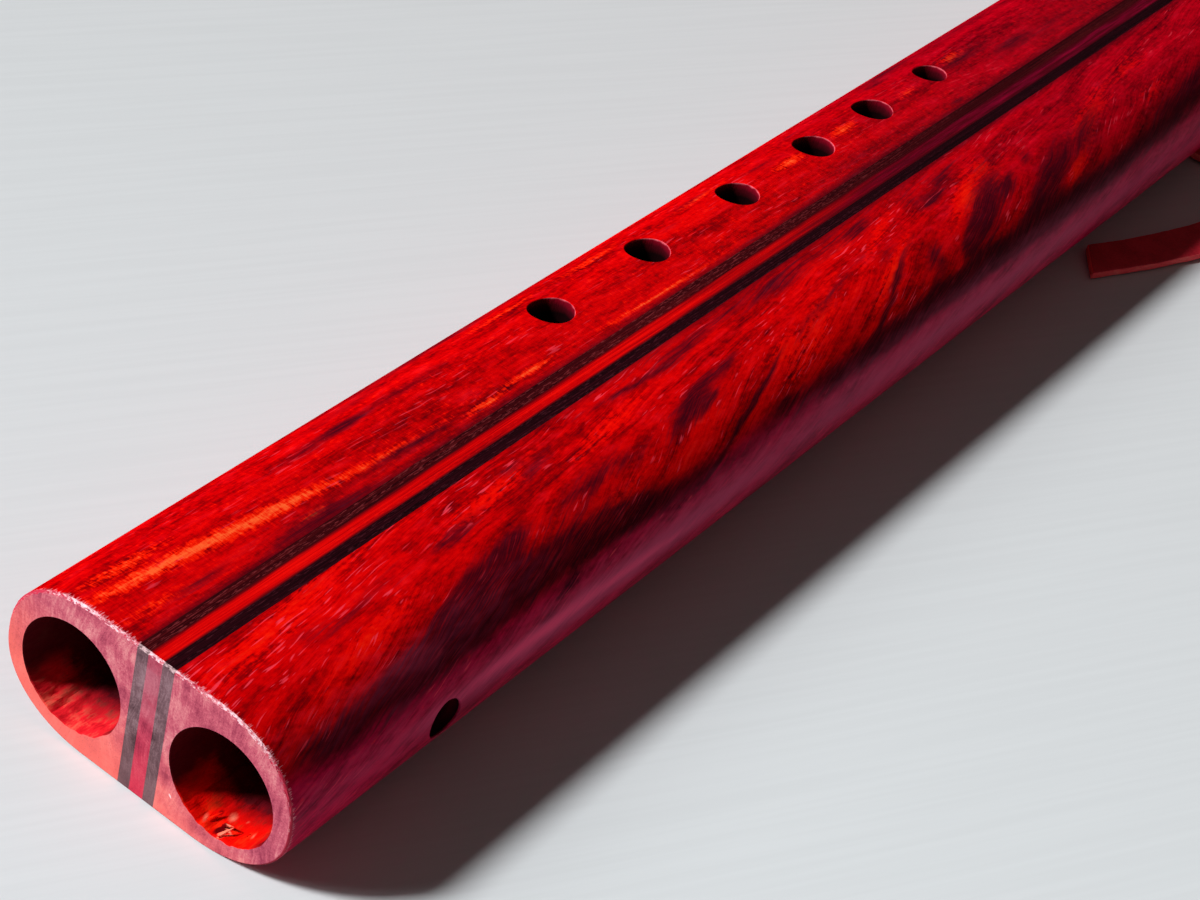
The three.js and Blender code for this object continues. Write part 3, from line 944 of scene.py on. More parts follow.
def patches(point, rows):
    # soft spots: mm along, mm across, half length, half width, slope and strength
    total = 0.0
    for along, across, halfLength, halfWidth, slope, strength in rows:
        inputs = {"Vector": point, "Location": (along, across, 0), "Rotation": (0, 0, math.atan(slope)),
                  "Scale": (halfLength, halfWidth, 1)}
        spot = addNode("Mapping", inputs, vector_type="TEXTURE").outputs[0]
        soft = addNode("TexGradient", {0: spot}, gradient_type="SPHERICAL").outputs[1]
        total = mulAdd(soft, strength, total)
    return total


def finishMaterial(tone, roughness, specular, height, bump, **extra):
    # height is a value from 0 to 1 and bump is how many millimetres it stands for
    bumped = {"Height": height, "Distance": bump * mm, "Strength": 1.0}
    normal = addNode("Bump", bumped).outputs[0]
    inputs = {"Base Color": tone, "Roughness": roughness, "Specular IOR Level": specular,
              "Normal": normal, **extra}
    shader = addNode("BsdfPrincipled", inputs).outputs[0]
    addNode("OutputMaterial", {"Surface": shader})


# Figure of each barrel. The lists hold soft spots: mm from the foot, mm round the outline, half
# length, half width, slope and strength. Round the outline, 12.2 mm either side of the middle
# are at 29.2 and 53.6, and the widest place of the drone side is at 82.8. The single numbers
# from bands to feather say how strong each pattern is, and waves how many mm the grain sways.
melodyFigure = {
    "slopes": (0.035, 0.09),
    "turns": (22, 12),  # from where to where round the outline the first slope gives way
    "waves": 2.6,
    "bleed": (0.95, 0.85),
    "bands": 0.75,
    "mottle": 0.6,
    "streaks": 0.35,
    "threads": 0.3,
    "pores": 0.42,
    "combed": [(60, 16.5, 56, 3, 0, 0.26), (195, 17.5, 40, 2.4, 0, 0.2), (110, 26, 30, 3, 0, 0.1)],
    "speckle": 0.55,
    "feather": 1.5,
    "paintedSheen": [(200, -6, 330, 9, 0, 0.4)],
    "paintedGleam": [(120, -7, 60, 3, 0, 0.5)],
    "polish": (22, 36, 0, 0.05),
    "roughness": 0.42,
    "sides": (37, 46),
    "glows to": ("#ff1c02", "#ff6830"),
    "darks": [
        (84, 21.5, 32, 2.2, 0.02, 0.6), (47, 35.8, 20, 1.8, 0.03, 0.7), (75, 33.2, 16, 1.4, 0.05, 0.6),
        (96, 36.5, 22, 1.2, 0, 0.3), (288, 26, 22, 2.4, 0, 0.8), (270, 35, 6, 1.4, 0.1, 0.7),
        (320, 31, 42, 5, 0, 0.5), (18, 33, 10, 1.5, 0.05, 0.55), (90, 12, 90, 5.5, 0.01, 0.35),
        (48, 34, 46, 3.6, 0, 0.5), (58, 22, 18, 2.6, 0.03, 0.6), (300, 15, 60, 5, 0, 0.5),
        (205, 36.5, 60, 1.8, 0, 0.6), (185, 19, 18, 2.2, 0.02, 0.5), (75, 17, 28, 2.6, 0, 0.5),
        (262, 18, 9, 2.6, 0, 0.6), (106, 13.5, 50, 3, 0, 0.4),
        (228, 33, 54, 4, 0, 0.4), (70, 22, 8, 2, 0, 0.5),
        (208, 21.5, 14, 2.4, 0, 0.5), (172, 22.5, 10, 2, 0, 0.4), (226, 17.5, 8, 2.2, 0, 0.4),
        (304, 30, 14, 2.4, 0, 0.4), (270, 14.5, 16, 3, 0, 0.5), (338, 23, 16, 5, 0, 0.45),
    ],
    "highlights": [
        (20, 27.3, 34, 2.4, 0.10, 1.3), (48, 30.1, 24, 2, 0.08, 0.75), (8, 32, 14, 1.6, 0.05, 0.6),
        (12, 22.5, 14, 2.4, 0.05, 0.8), (150, 18, 16, 1.8, 0, 0.7),
        (70, 32, 20, 1.4, 0.04, 0.6), (108, 33.4, 11, 1, 0, 1), (150, 34.9, 26, 0.9, 0.02, 1),
        (214, 25, 8, 1.9, 0, 1), (236, 25.2, 8, 2, 0, 1.05), (187, 19.6, 14, 1.2, 0, 0.8),
        (120, 17.4, 18, 1.2, 0.03, 0.7), (262, 26, 7, 1.6, 0, 0.7), (94, 34.2, 9, 1.4, 0, 0.9),
        (286, 24.5, 7, 2.6, 0, 0.8), (46, 34.2, 6, 1.2, 0, 0.7),
    ],
}
droneFigure = {
    "slopes": (-0.10, -0.36),
    "turns": (54, 64),
    "waves": 4.5,
    "bleed": (0.05, 0.8),
    "bands": 0.9,
    "mottle": 0.6,
    "streaks": 0.65,
    "threads": 0.45,
    "pores": 0.65,
    "combed": [
        (18, 54, 36, 11, -0.1, 0.32), (72, 49.5, 20, 3.4, 0, 0.3), (128, 56.5, 18, 4, -0.1, 0.25),
        (204, 53.5, 20, 4.5, -0.2, 0.3), (150, 60, 16, 3, -0.2, 0.2),
    ],
    "speckle": 0.5,
    "feather": 0.3,
    "paintedSheen": [(215, 79.7, 370, 8.6, 0, 0.86), (84, 80, 64, 3.8, 0, 0.65), (36, 68.5, 50, 6, 0, 0.34)],
    "paintedGleam": [(66, 79.2, 44, 3, 0, 1), (104, 80.6, 30, 2.2, 0.02, 0.6)],
    "polish": (78, 86, 0.01, 0.12),
    "roughness": 0.32,
    "sides": (27.5, 33),
    "glows to": ("#f40802", "#ff200a"),
    "darks": [
        (40, 69.5, 34, 6, -0.10, 1.5), (72, 68.5, 40, 6, 0, 1.4), (104, 71.5, 34, 4, 0.08, 1),
        (58, 62.4, 20, 3.4, -0.12, 0.95), (92, 61, 18, 3.6, -0.1, 0.9), (88, 52, 14, 2, -0.25, 0.6),
        (124, 61, 18, 3.2, -0.22, 1), (139, 67, 26, 1, -0.32, 1.3), (118, 50, 20, 1.2, 0.05, 0.7),
        (196, 64.5, 26, 1.6, -0.42, 1), (238, 62.5, 24, 6, -0.5, 1.3), (262, 66, 26, 5, -0.4, 1.2),
        (286, 61.5, 20, 4, -0.3, 0.9), (335, 68, 44, 6, -0.08, 1.2), (178, 48.6, 88, 4.2, 0, 0.62),
        # the rows at 72.6 round the outline are painted shade, where the side turns away from the light
        (190, 72.6, 70, 4.2, 0, 1.2), (262, 72.6, 70, 5, 0, 1.4), (180, 58, 34, 2.4, -0.2, 0.6),
        (34, 55, 22, 2.6, -0.1, 0.5), (10, 70, 14, 5, 0, 0.8), (134, 57.6, 20, 2.2, -0.1, 0.6),
        (82, 50, 8, 1.8, 0, 0.6), (136, 50, 14, 2, -0.1, 0.5), (204, 50, 9, 2, -0.1, 0.5),
        (64, 54.2, 11, 2.2, -0.1, 0.6), (228, 53.8, 8, 2, -0.2, 0.6), (142, 58, 7, 2, -0.2, 0.5),
        (70, 62, 10, 3, -0.1, 0.6), (106, 61.6, 10, 2.6, -0.1, 0.5), (251, 61, 8, 2.6, -0.4, 0.8),
        (226, 66.5, 9, 2.6, -0.3, 0.7), (46, 82.5, 12, 4, 0, 0.5),
        (236, 51.5, 12, 3, -0.2, 0.8), (130, 62, 8, 2.6, -0.2, 0.5), (213, 63.5, 7, 3, -0.3, 0.7),
        (148, 70, 10, 3, 0, 0.5), (208, 69, 10, 4, -0.2, 0.6), (263, 58, 6, 2.6, -0.3, 0.7),
        (172, 50.5, 14, 2.4, 0, 0.4), (224, 52, 8, 3.4, -0.1, 0.5), (58, 54.5, 9, 2.4, -0.1, 0.5),
        (22, 54, 9, 2, 0, 0.45), (202, 58, 7, 2.6, -0.2, 0.6), (214, 66, 7, 2.8, -0.3, 0.5),
    ],
    "highlights": [
        (238, 56.5, 20, 3.2, -0.3, 1), (18, 50, 30, 4, -0.1, 0.9), (30, 61, 22, 3, -0.16, 0.8),
        (168, 62, 26, 4, -0.36, 0.8), (283, 64, 24, 2.4, -0.36, 0.6), (74, 52, 22, 3, -0.1, 0.8),
        (205, 53.5, 24, 2.6, -0.3, 0.6), (108, 54, 20, 2.6, -0.1, 0.8), (92, 67, 22, 2.4, -0.1, 0.7),
        (200, 61.6, 18, 2.8, -0.36, 1.1), (247, 58.5, 11, 3, -0.3, 0.8), (345, 66, 14, 3, -0.2, 0.8),
        (156, 62, 10, 3, -0.2, 0.9), (237, 59.5, 9, 3, -0.4, 0.8), (274, 67.5, 9, 3, -0.4, 0.9),
        (298, 57, 17, 4, -0.2, 0.7), (50, 46.5, 26, 2.4, -0.05, 0.5), (94, 70, 9, 3, 0, 0.4),
        (250, 54.5, 6, 2.4, -0.2, 0.7), (262, 66.5, 6, 2.6, -0.3, 0.8), (322, 54, 14, 3, -0.1, 0.7),
        (286, 60, 12, 3.4, -0.2, 0.6), (320, 62.5, 12, 2.8, -0.1, 0.6), (80, 71, 16, 2, 0, 0.35),
    ],
}


def dyedWood(figure):
    # red-dyed hardwood, oiled: scarlet with wine-dark flames and pale open pores, with painted highlights,
    # sheen and shade
    point = skinPoint()
    along, across, _ = parts(point)
    swing = grain(point, (38, 13, 1), 1.0)
    ripple = mulAdd(grain(point, (9, 3.5, 1), 1.0), 1.0, -0.5)
    bent = plus(mulAdd(swing, figure["waves"], across), ripple)
    turned = ranged(across, *figure["turns"])
    layouts = []
    for slope in figure["slopes"]:
        run = joined(along, mulAdd(along, -slope, bent))
        layouts.append((grain(run, (55, 4.2, 1)), grain(run, (20, 0.8, 1), 3.0, 0.65),
                        grain(run, (7, 0.26, 1)), grain(run, (4.8, 0.42, 1), 0.0)))
    bands, streaks, threads, pores = [blend(turned, *pair) for pair in zip(*layouts)]
    wide = mulAdd(streaks, figure["streaks"], -figure["streaks"] / 2)
    thin = mulAdd(threads, figure["threads"], -figure["threads"] / 2)
    lines = plus(wide, thin)
    loose = joined(mulAdd(ripple, 2.0, along), plus(across, ripple))
    torn = mulAdd(wide, 1.6, lines)
    shade = ranged(plus(patches(loose, figure["darks"]), torn), 0.12, 0.85)
    feather = grain(point, (0.42, 2.2, 1), 2.0, 0.6)
    feather = mulAdd(feather, figure["feather"], -figure["feather"] / 2)
    mottle = grain(point, (8, 3.0, 1), 2.0, 0.6)
    speckle = grain(point, (1.7, 0.8, 1), 2.0, 0.6)
    uneven = plus(feather, mulAdd(speckle, 1.2, -0.6))
    frayed = plus(patches(loose, figure["highlights"]), plus(torn, uneven))
    shares = figure["bands"] + figure["mottle"] + figure["speckle"]
    level = plus(mulAdd(feather, 0.2, lines), 0.5 - shares / 2)
    for part, share in ((bands, "bands"), (mottle, "mottle"), (speckle, "speckle")):
        level = mulAdd(part, figure[share], level)
    red = ramped(level, dyeRamp)
    crimson = ramped(level, crimsonRamp)
    # towards the far end the colour turns crimson and darker: crimson dye, and painted falloff of the
    # light
    farDimRed = ramped(level, farDimRamp)
    farDimmed = ranged(mulAdd(mottle, 90.0, along), 225.0, 350.0)
    # the lower sides blend to crimson: a painted purple cast of the shaded side over the red dye
    offMiddle = calc("ABSOLUTE", minus(across, 41.4))
    lower = ranged(offMiddle, *figure["sides"])
    tone = blend(lower, blend(farDimmed, red, farDimRed), crimson)
    # painted highlights: orange chatoyant streaks where the grain throws back light, weaker towards the
    # far end
    for limits, share, target in ((0.2, 0.7), 0.8, 0), ((0.6, 1.3), 0.85, 1):
        share = mulAdd(farDimmed, -0.45, share)
        highlight = times(ranged(frayed, *limits), share)
        tone = tinted(tone, highlight, figure["glows to"][target])
    # darkens the flames and the painted shade rows, leaving fine red threads in them
    shadeThreads = times(shade, ranged(threads, 0.4, 0.7, 0.95, 0.75))
    tone = tinted(tone, shadeThreads, "#380614")
    clumps = plus(grain(point, (17, 5, 1), 2.0), patches(loose, figure["combed"]))
    open_ = times(ranged(pores, 0.64, 0.76), ranged(clumps, 0.5, 0.66))
    paler = mulAdd(farDimmed, -0.3, mulAdd(shade, -0.5, figure["pores"]))
    tone = tinted(tone, times(open_, paler), "#ff4458")
    bleed = ranged(mulAdd(mottle, -1.2, offMiddle), 3.1, 6.4, 1.0, 0.0)
    bleed = times(bleed, ranged(along, 55.0, 140.0, *figure["bleed"]))
    tone = tinted(tone, bleed, "#3a0410")
    # painted sheen: a soft purple band where the lower side mirrors the lit floor
    paintedSheen = mulAdd(mottle, 0.5, mulAdd(streaks, 0.4, -0.45))
    paintedSheen = plus(paintedSheen, patches(loose, figure["paintedSheen"]))
    tone = tinted(tone, ranged(paintedSheen, 0.0, 1.1, 0.0, 0.9), "#bc466a")
    # painted highlight: a brighter magenta streak along the lower side
    paintedGleam = mulAdd(streaks, 0.6, -0.3)
    paintedGleam = plus(paintedGleam, patches(loose, figure["paintedGleam"]))
    tone = tinted(tone, ranged(paintedGleam, 0.15, 1.0, 0.0, 0.9), "#f44e78")
    bristle = grain(point, (1.6, 0.22, 1), 1.0)
    bristle = plus(bristle, ranged(along, 0.2, 2.2, 0.1, -0.3))
    tone = tinted(tone, ranged(bristle, 0.5, 0.68, 0.0, 0.6), "#f49aa8")
    height = mulAdd(threads, 0.5, times(open_, -0.35))
    rubbed = ranged(across, *figure["polish"])
    finishMaterial(tone, figure["roughness"], rubbed, height, 0.03,
                   **{"Specular Tint": colour("#ff70b8")})


dyeRamp = [(0.12, "#4c000c"), (0.34, "#960004"), (0.52, "#c80004"), (0.7, "#e40404"), (0.95, "#f4180a")]
# the far end's ramp: crimson dye, darkened as painted falloff of the light
farDimRamp = [(0.12, "#38000a"), (0.36, "#7c000e"), (0.56, "#a40012"), (0.8, "#c40018"), (1.0, "#d80620")]
# the lower sides' ramp, with a painted purple cast of shade
crimsonRamp = [(0.12, "#40001a"), (0.36, "#90002a"), (0.56, "#b8043a"), (0.8, "#d00a40"), (1.0, "#e0204c")]


def endGrain(ramp, warm, size=1.0, dust=0.0):
    # sanded end grain: matte, growth lines and blotches, rosy and dusty above, salmon below
    point = objectPoint()
    _, y, z = parts(point)
    bent = mulAdd(grain(point, (11, 11, 11), 1.0), 6.0, y)
    rings = grain(joined(bent, z), (0.8 * size, 9 * size, 1), 3.0, 0.7)
    cloud = grain(point, (7, 5, 5), 3.0, 0.6)
    fine = grain(point, (0.35, 0.35, 0.35), 2.0, 0.7)
    level = mulAdd(rings, 0.5, times(fine, 0.35))
    level = mulAdd(cloud, 0.8, minus(level, 0.325))
    tone = ramped(level, ramp)
    lowness = mulAdd(y, 0.35, mulAdd(z, -0.8, 10.0))
    lowness = mulAdd(cloud, 12.0, minus(lowness, 6.0))
    tone = tinted(tone, ranged(lowness, -6.0, 14.0, 0.0, 0.8), warm)
    worn = times(ranged(z, 12.0, 28.0), ranged(cloud, 0.35, 0.6, 0.3, 1.0))
    tone = tinted(tone, times(worn, dust), "#98707c")
    dots = {"Vector": scaled(point, [1 / (0.45 * size)] * 3), "Scale": 1.0}
    dot = addNode("TexVoronoi", dots).outputs["Distance"]
    pore = ranged(dot, 0.1, 0.28, 1.0, 0.0)
    tone = tinted(tone, times(pore, 0.35), ramp[0][1])
    chip = patches(joined(y, z), [(-7.1, 5.6, 0.8, 0.3, 1.3, 1.2)])
    chip = mulAdd(fine, 0.8, minus(chip, 0.4))
    tone = tinted(tone, ranged(chip, 0.25, 0.8, 0.0, 0.8), "#f8d4d8")
    height = minus(times(fine, 0.5), pore)
    finishMaterial(tone, 0.85, 0.12, height, 0.04)


def boredWall(ramp, shadedHollows=(), tuftsAndGlints=()):
    # raw bored wall: dye wicked in unevenly, matted fibres below, painted shade deeper in and on the upper
    # wall
    point = objectPoint()
    strands = grain(point, (3.5, 0.7, 0.7), 3.0, 0.75)
    blots = grain(point, (4.5, 3, 3), 3.0, 0.6)
    level = plus(times(strands, 0.4), times(blots, 0.6))
    tone = ramped(level, ramp)
    x, y, z = parts(point)
    # painted shade: dark deeper into the bore and on its upper wall, where the light does not reach
    uneven = mulAdd(strands, 6.0, mulAdd(blots, 9.0, x))
    deeper = ranged(uneven, footMm + 10.5, footMm + 19)
    upper = ranged(mulAdd(blots, 5.0, z), boreZ - 7.6, boreZ - 2.2)
    dark = times(calc("MAXIMUM", deeper, upper), 0.93)
    tone = tinted(tone, dark, "#280612")
    fromFoot = minus(mulAdd(strands, 0.8, x), footMm + 0.4)
    spot = joined(fromFoot, mulAdd(strands, 0.8, minus(y, 0.4)))
    if shadedHollows:
        # painted shade: dark patches for the hollows in the torn grain
        hollowShade = ranged(patches(spot, shadedHollows), 0.2, 0.8, 0.0, 0.9)
        tone = tinted(tone, hollowShade, "#3c0008")
        # pale fibre tufts, and painted highlights where the lit torn grain catches the light
        tuftAndGlint = ranged(patches(spot, tuftsAndGlints), 0.2, 0.9, 0.0, 0.85)
        tone = tinted(tone, tuftAndGlint, "#ff8c70")
    finishMaterial(tone, 0.7, 0.03, strands, 0.2)


def drilledWall(rim, middle):
    # small holes: pale rim, part raw wood, part painted highlight; painted shade darkens the wall with
    # depth
    depth = parts(skinPoint())[1]
    point = objectPoint()
    uneven = mulAdd(grain(point, (1.5, 1.5, 1.5), 2.0), 0.9, depth)
    shares = times(minus(uneven, 0.45), 0.3)
    ramp = [(0.0, rim), (0.13, middle), (0.5, "#480410"), (1.0, "#120204")]
    tone = ramped(shares, ramp)
    finishMaterial(tone, 0.75, 0.03, grain(point, (0.4, 0.4, 2), 2.0), 0.08)


def wornArris(dyed, worn):
    # sanded-through edge at the foot: pale fuzz of raw fibres over the dye, darker low down as painted
    # shade
    point = objectPoint()
    fuzz = grain(point, (0.5, 0.8, 0.5), 2.0, 0.7)
    longer = grain(point, (6, 6, 6), 1.0)
    x, y, z = parts(point)
    high = plus(ranged(z, 22.0, 31.0, -0.36, 0.06), ranged(y, 19.0, 29.0, 0.0, -0.16))
    worth = plus(mulAdd(longer, 0.5, high), fuzz)
    edge = calc("ABSOLUTE", minus(x, footMm + 0.25))
    worth = minus(worth, ranged(edge, 0.1, 0.5, 0.0, 0.22))
    # painted contact shade: the edge darkens towards the floor
    low = blend(ranged(z, 2.0, 12.0), colour("#6a1420"), colour(dyed))
    tone = blend(ranged(worth, 0.6, 1.0), low, colour(worn))
    finishMaterial(tone, 0.8, 0.12, fuzz, 0.1)


def stripWood(ramp, fibre, farTone=None, dashShare=0.7, lineWidth=0.24):
    # thin laminate, grain straight along it: rows of short open pores between dark fibres
    point = objectPoint()
    x, y, _ = parts(point)
    lines = grain(point, (38, lineWidth, 1.2), 3.0, 0.7)
    dashes = grain(point, (1.5, 0.2, 0.6), 1.0)
    rows = ranged(grain(point, (70, 0.45, 3), 0.0), 0.42, 0.56)
    tone = ramped(lines, ramp)
    fading = ranged(x, footMm + 150, footMm + 300, dashShare, dashShare * 0.3)
    dash = times(times(ranged(dashes, 0.52, 0.66), rows), fading)
    tone = tinted(tone, dash, fibre)
    if farTone:
        # the far part darkens to crimson: crimson stain, and painted falloff of the light
        uneven = mulAdd(grain(point, (30, 1.2, 3), 3.0), 120.0, x)
        far = ranged(uneven, footMm + 190, footMm + 300, 0.0, 0.94)
        stainedAndShaded = ranged(mulAdd(lines, 60.0, uneven), footMm + 270, footMm + 370)
        stainAndShade = blend(stainedAndShaded, colour("#640008"), colour(farTone))
        patchy = grain(point, (13, 0.8, 2), 2.0, 0.6)
        stainAndShade = tinted(stainAndShade, ranged(patchy, 0.36, 0.62, 0.0, 0.85), "#2c0410")
        stainAndShade = tinted(stainAndShade, ranged(patchy, 0.2, 0.4, 0.6, 0.0), "#90082c")
        tone = blend(far, tone, stainAndShade)
        offMiddle = mulAdd(lines, 0.4, calc("ABSOLUTE", y))
        blotched = mulAdd(grain(point, (12, 0.8, 2), 2.0), 0.9, offMiddle)
        tone = tinted(tone, ranged(blotched, 1.45, 2.2, 0.0, 0.85), "#3c040c")
    else:
        # painted falloff of the light: the dark strips darken towards the far end
        dim = ranged(x, footMm + 170, footMm + 260, 0.0, 0.35)
        tone = tinted(tone, dim, ramp[0][1])
    finishMaterial(tone, 0.55, 0.025, lines, 0.06)


def turnedWood(ramp, along, pore):
    # oiled dark hardwood, satin, with open pores along the grain
    point = objectPoint()
    wave = mulAdd(grain(point, (40, 12, 12), 1.0), 5.0, parts(point)[2])
    run = joined(parts(point)[0], parts(point)[1], wave)
    bands = grain(run, (along * 2, 7, 1.6), 2.0)
    lines = grain(run, (along, 0.5, 0.5), 3.0, 0.65)
    level = plus(times(bands, 0.35), times(lines, 0.65))
    tone = ramped(level, ramp)
    pores = ranged(grain(run, (4.5, 0.22, 0.3), 0.0), 0.6, 0.7)
    tone = tinted(tone, times(pores, pore), ramp[0][1])
    finishMaterial(tone, 0.55, 0.2, minus(lines, pores), 0.02)


def leatherSide(ramp, roughness, pebble, fibre):
    # vegetable-tanned leather lace: dull dyed face, or the cut edge, raw fibres with a painted highlight
    point = objectPoint()
    cloud = grain(point, (7, 7, 7), 3.0, 0.6)
    fine = grain(point, (pebble, pebble, pebble), 2.0, 0.6)
    level = plus(times(cloud, 0.6), times(fine, 0.4))
    tone = ramped(level, ramp)
    finishMaterial(tone, roughness, 0.3, fine, fibre)


def paintedTable(low, high):
    # pale matt paint with faint brush marks; painted light makes it a little brighter towards the window
    point = objectPoint()
    x, y, _ = parts(point)
    lean = mulAdd(x, -1.0, times(y, -0.27))
    brighter = ranged(lean, -100.0, 420.0)
    turned = addNode("Mapping", {"Vector": point, "Rotation": (0, 0, 0.5)}).outputs[0]
    marks = grain(turned, (70, 1.6, 1))
    tone = blend(brighter, colour(low), colour(high))
    faint = blend(ranged(marks, 0.3, 0.7), colour("#fcfcfc"), colour("#ffffff"))
    tone = blend(1.0, tone, faint, "MULTIPLY")
    finishMaterial(tone, 0.65, 0.15, marks, 0.012)


# Torn grain in the mouth of the drone bore: mm from the foot, mm across, then as in the figures
tornGrain = {
    # the hollows are painted shade inside the torn grain
    "shadedHollows": [(2.1, -17.2, 2.2, 1.3, -0.4, 1.6), (4.6, -14.6, 1.6, 0.8, 0.2, 0.7)],
    "tuftsAndGlints": [
        # among the tufts, the rows at 6.2 and 3.8 mm from the foot are painted highlights
        (1.2, -18.4, 1.7, 0.5, -0.66, 2.2), (2.7, -17.9, 1.4, 0.4, 3.4, 1.2),
        (5.4, -16.5, 2.2, 1.3, 0.3, 0.8), (6.2, -19.0, 1.1, 0.7, 0.0, 0.5),
        (3.8, -22.2, 1.9, 0.6, 0.2, 0.6), (1.8, -13.6, 2.2, 0.8, 0.4, 0.7),
    ],
}
melodySkin = paint("red dyed hardwood, melody side", dyedWood, melodyFigure)
droneSkin = paint("red dyed hardwood, drone side", dyedWood, droneFigure)
dyedEnd = paint("dyed hardwood end grain, sanded", endGrain,
                [(0.3, "#8c3048"), (0.5, "#b85466"), (0.7, "#d48488")], "#ec6a5c")
centreEnd = paint("dyed hardwood end grain, centre strip", endGrain,
                  [(0.3, "#84203a"), (0.5, "#ac3850"), (0.7, "#c45c6c")], "#cc2c44", 0.8, 0.42)
darkEnd = paint("wenge end grain, sanded", endGrain,
                [(0.3, "#38242a"), (0.5, "#64484e"), (0.7, "#8c7076")], "#6c4c50", 0.5, 0.2)
melodyWall = paint("bored hardwood, melody side", boredWall,
                   [(0.3, "#b40c18"), (0.5, "#f0202c"), (0.7, "#ff7058")])
droneWall = paint("bored hardwood, drone side", boredWall,
                  [(0.3, "#c80404"), (0.5, "#fc0a02"), (0.7, "#ff3a14")], **tornGrain)
# the finger holes get the pale rim; the tuning hole, on the shaded side, a dark copy as painted shade
holeWall = paint("finger hole wall", drilledWall, "#f46c7c", "#84041c")
shadedSideHoleWall = paint("tuning hole wall in painted shade", drilledWall, "#5c1018", "#20060a")
arrisWood = paint("worn dyed edge", wornArris, "#b82c44", "#f4ccd4")
darkArris = paint("worn wenge edge", wornArris, "#34161c", "#c8a8ac")
melodyStripWood = paint("wenge strip, coarse grain", stripWood,
                        [(0.3, "#1a0206"), (0.5, "#3a070c"), (0.7, "#581014")], "#7c2c30")
droneStripWood = paint("wenge strip, dark grain", stripWood,
                       [(0.3, "#0e0306"), (0.5, "#20060c"), (0.75, "#380a14")], "#50202a",
                       dashShare=0.5)
centreStripWood = paint("dyed strip, straight grain", stripWood,
                        [(0.3, "#7c0008"), (0.46, "#c80004"), (0.66, "#f00a06")], "#ff1810",
                        "#600422", 0.3, 0.45)
darkHardwood = paint("oiled walnut", turnedWood,
                     [(0.25, "#1e100c"), (0.45, "#3a2018"), (0.6, "#523022"), (0.8, "#704630")],
                     30.0, 0.4)
plugWood = paint("bare maple", turnedWood,
                 [(0.25, "#b08a5c"), (0.5, "#cda878"), (0.8, "#dcbf94")], 24.0, 0.3)
laceFace = paint("leather lace, dyed face", leatherSide,
                 [(0.25, "#a41020"), (0.5, "#d02034"), (0.75, "#e83442")], 0.75, 0.6, 0.05)
# the cut edge is brighter from raw fibres and a painted highlight where it catches the light
laceEdge = paint("leather lace, cut edge", leatherSide,
                 [(0.25, "#f83448"), (0.5, "#ff5058"), (0.75, "#ff8880")], 0.85, 0.3, 0.08)
tablePaint = paint("painted table top", paintedTable, "#d2d5d7", "#e0e6e9")


def setMaterials(piece, *materials):
    piece.data.materials.clear()
    for material in materials:
        piece.data.materials.append(material)


def outlineShare(y, z):
    # 1 on the outline, less inside it
    across = max(abs(y) - body["flatHalfWidth"], 0) / shoulder
    up = (z - boreZ) / riseAt(z - boreZ)
    power = exponentAt(z - boreZ)
    return (across**power + abs(up) ** power) ** (1 / power)


def surfaceKind(center, normal):
    # 0 the dyed surface, 1 end grain, 2 the worn arris, 3 bored and 4 drilled walls
    x, y, z = (center.x - footX) / mm, center.y / mm, center.z / mm
    if abs(normal.x) > 0.9 and (x < 0.2 or x > body["length"] - 0.2):
        return 1
    onOutline = outlineShare(y, z) > 0.988
    if x < body["arris"] * 1.05 and outlineShare(y, z) > 0.9:
        return 2
    inNest = body["nestStart"] - 7 < x < body["nestEnd"] + 7 and normal.z > 0.8
    inNest = inNest and z > body["nestZ"] - 0.05
    inGroove = normal.z < -0.8 and z < body["grooveDepth"] + 0.05
    if onOutline or inNest or inGroove:
        return 0
    return 3 if math.hypot(abs(y) - boreY, z - boreZ) < boreRadius + 0.6 else 4


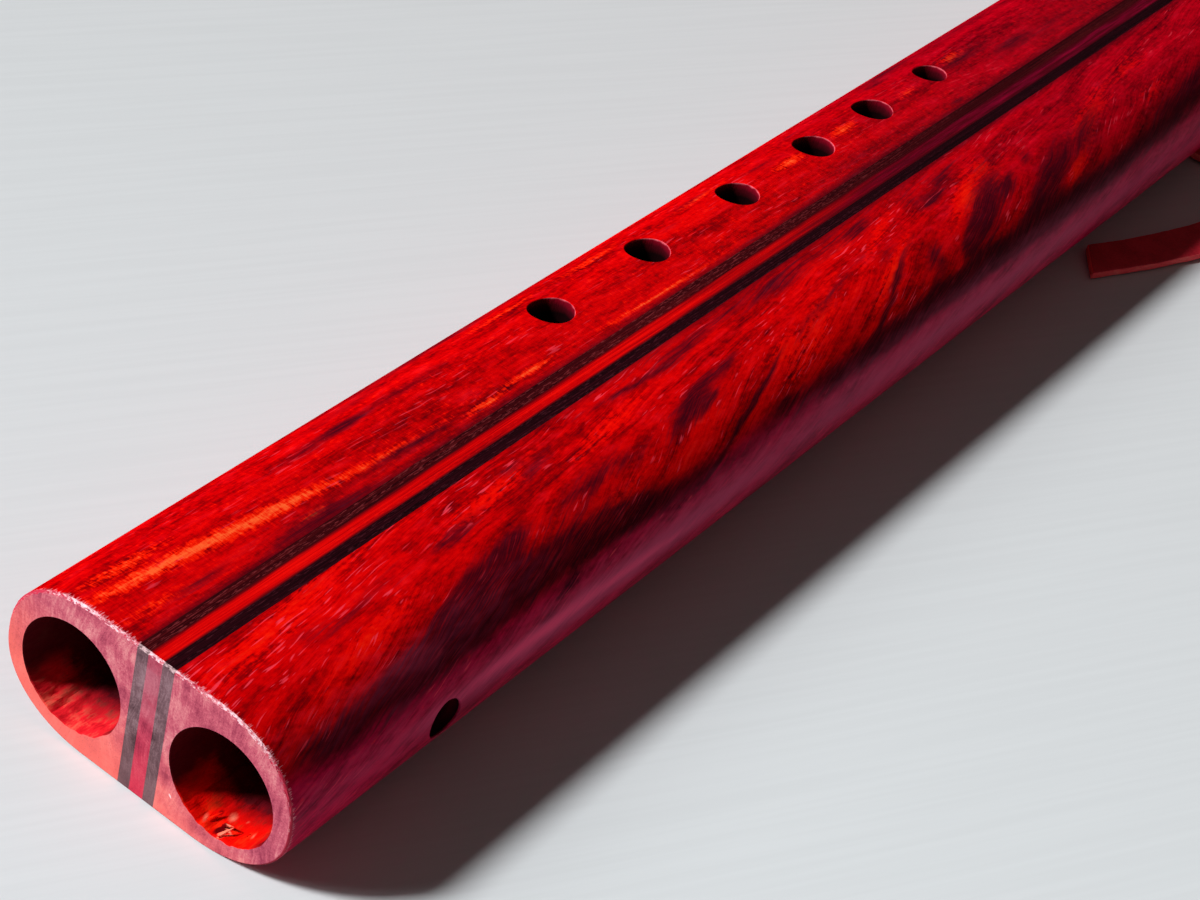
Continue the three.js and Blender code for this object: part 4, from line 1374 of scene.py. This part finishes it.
def mapSkin(piece, seam):
    # unrolls the outline: along the flute, and round it from the melody side's widest place.
    # On the walls of the small holes the second number is the depth under the surface.
    fine = [outlinePoint(seam + 2 * math.pi * k / 4000) for k in range(4001)]
    turns = np.unwrap([math.atan2(z - boreZ, y) for y, z in fine])
    run = runAlong(np.array(fine))
    run -= np.interp(0, turns, run)
    layer = piece.data.uv_layers.new(name="skin")
    for face in piece.data.polygons:
        for loop in face.loop_indices:
            spot = piece.data.vertices[piece.data.loops[loop].vertex_index].co
            y, z = spot.y / mm, spot.z / mm
            if face.material_index == 4:  # a drilled wall
                second = (1 - outlineShare(y, z)) * riseAt(1)
            else:
                turn = (math.atan2(z - boreZ, y) - turns[0]) % (2 * math.pi) + turns[0]
                second = np.interp(turn, turns, run)
            layer.data[loop].uv = (spot.x - footX, second * mm)


layerPaint = {
    melodyBarrel: (melodySkin, dyedEnd, arrisWood, melodyWall, holeWall),
    droneBarrel: (droneSkin, dyedEnd, arrisWood, droneWall, shadedSideHoleWall),
    melodyStrip: (melodyStripWood, darkEnd, darkArris, melodyStripWood),
    droneStrip: (droneStripWood, darkEnd, darkArris, droneStripWood),
    centreStrip: (centreStripWood, centreEnd, arrisWood, centreStripWood),
}
for piece, materials in layerPaint.items():
    setMaterials(piece, *materials)
    for face in piece.data.polygons:
        face.material_index = min(surfaceKind(face.center, face.normal), len(materials) - 1)
mapSkin(melodyBarrel, -math.pi)
mapSkin(droneBarrel, 0)
for piece in (mouthWood, melodyBlock, droneBlock):
    setMaterials(piece, darkHardwood)
for piece in (windingLeather, knotLeather, longTail, shortTail):
    edges = [face.material_index for face in piece.data.polygons]
    setMaterials(piece, laceFace, laceEdge)
    piece.data.polygons.foreach_set("material_index", edges)
for node in ("melody_plug", "drone_plug"):
    for slot in bpy.data.objects[node].material_slots:
        slot.material = plugWood
setMaterials(tableTop, tablePaint)
print("materials ready")

scene = bpy.context.scene
scene.view_settings.view_transform = "Standard"


def makeSky():
    # a dim room with a pale low band all round
    scene.world = openTree(bpy.data.worlds.new("studio"))
    direction = addNode("TexCoord").outputs["Generated"]
    height = parts(direction)[2]
    level = ranged(height, 0.02, 0.16, light["skyLow"], light["skyHigh"])
    background = {"Color": colour(light["skyTone"]), "Strength": level}
    background = addNode("Background", background).outputs[0]
    addNode("OutputWorld", {"Surface": background})


makeSky()
print("light ready")
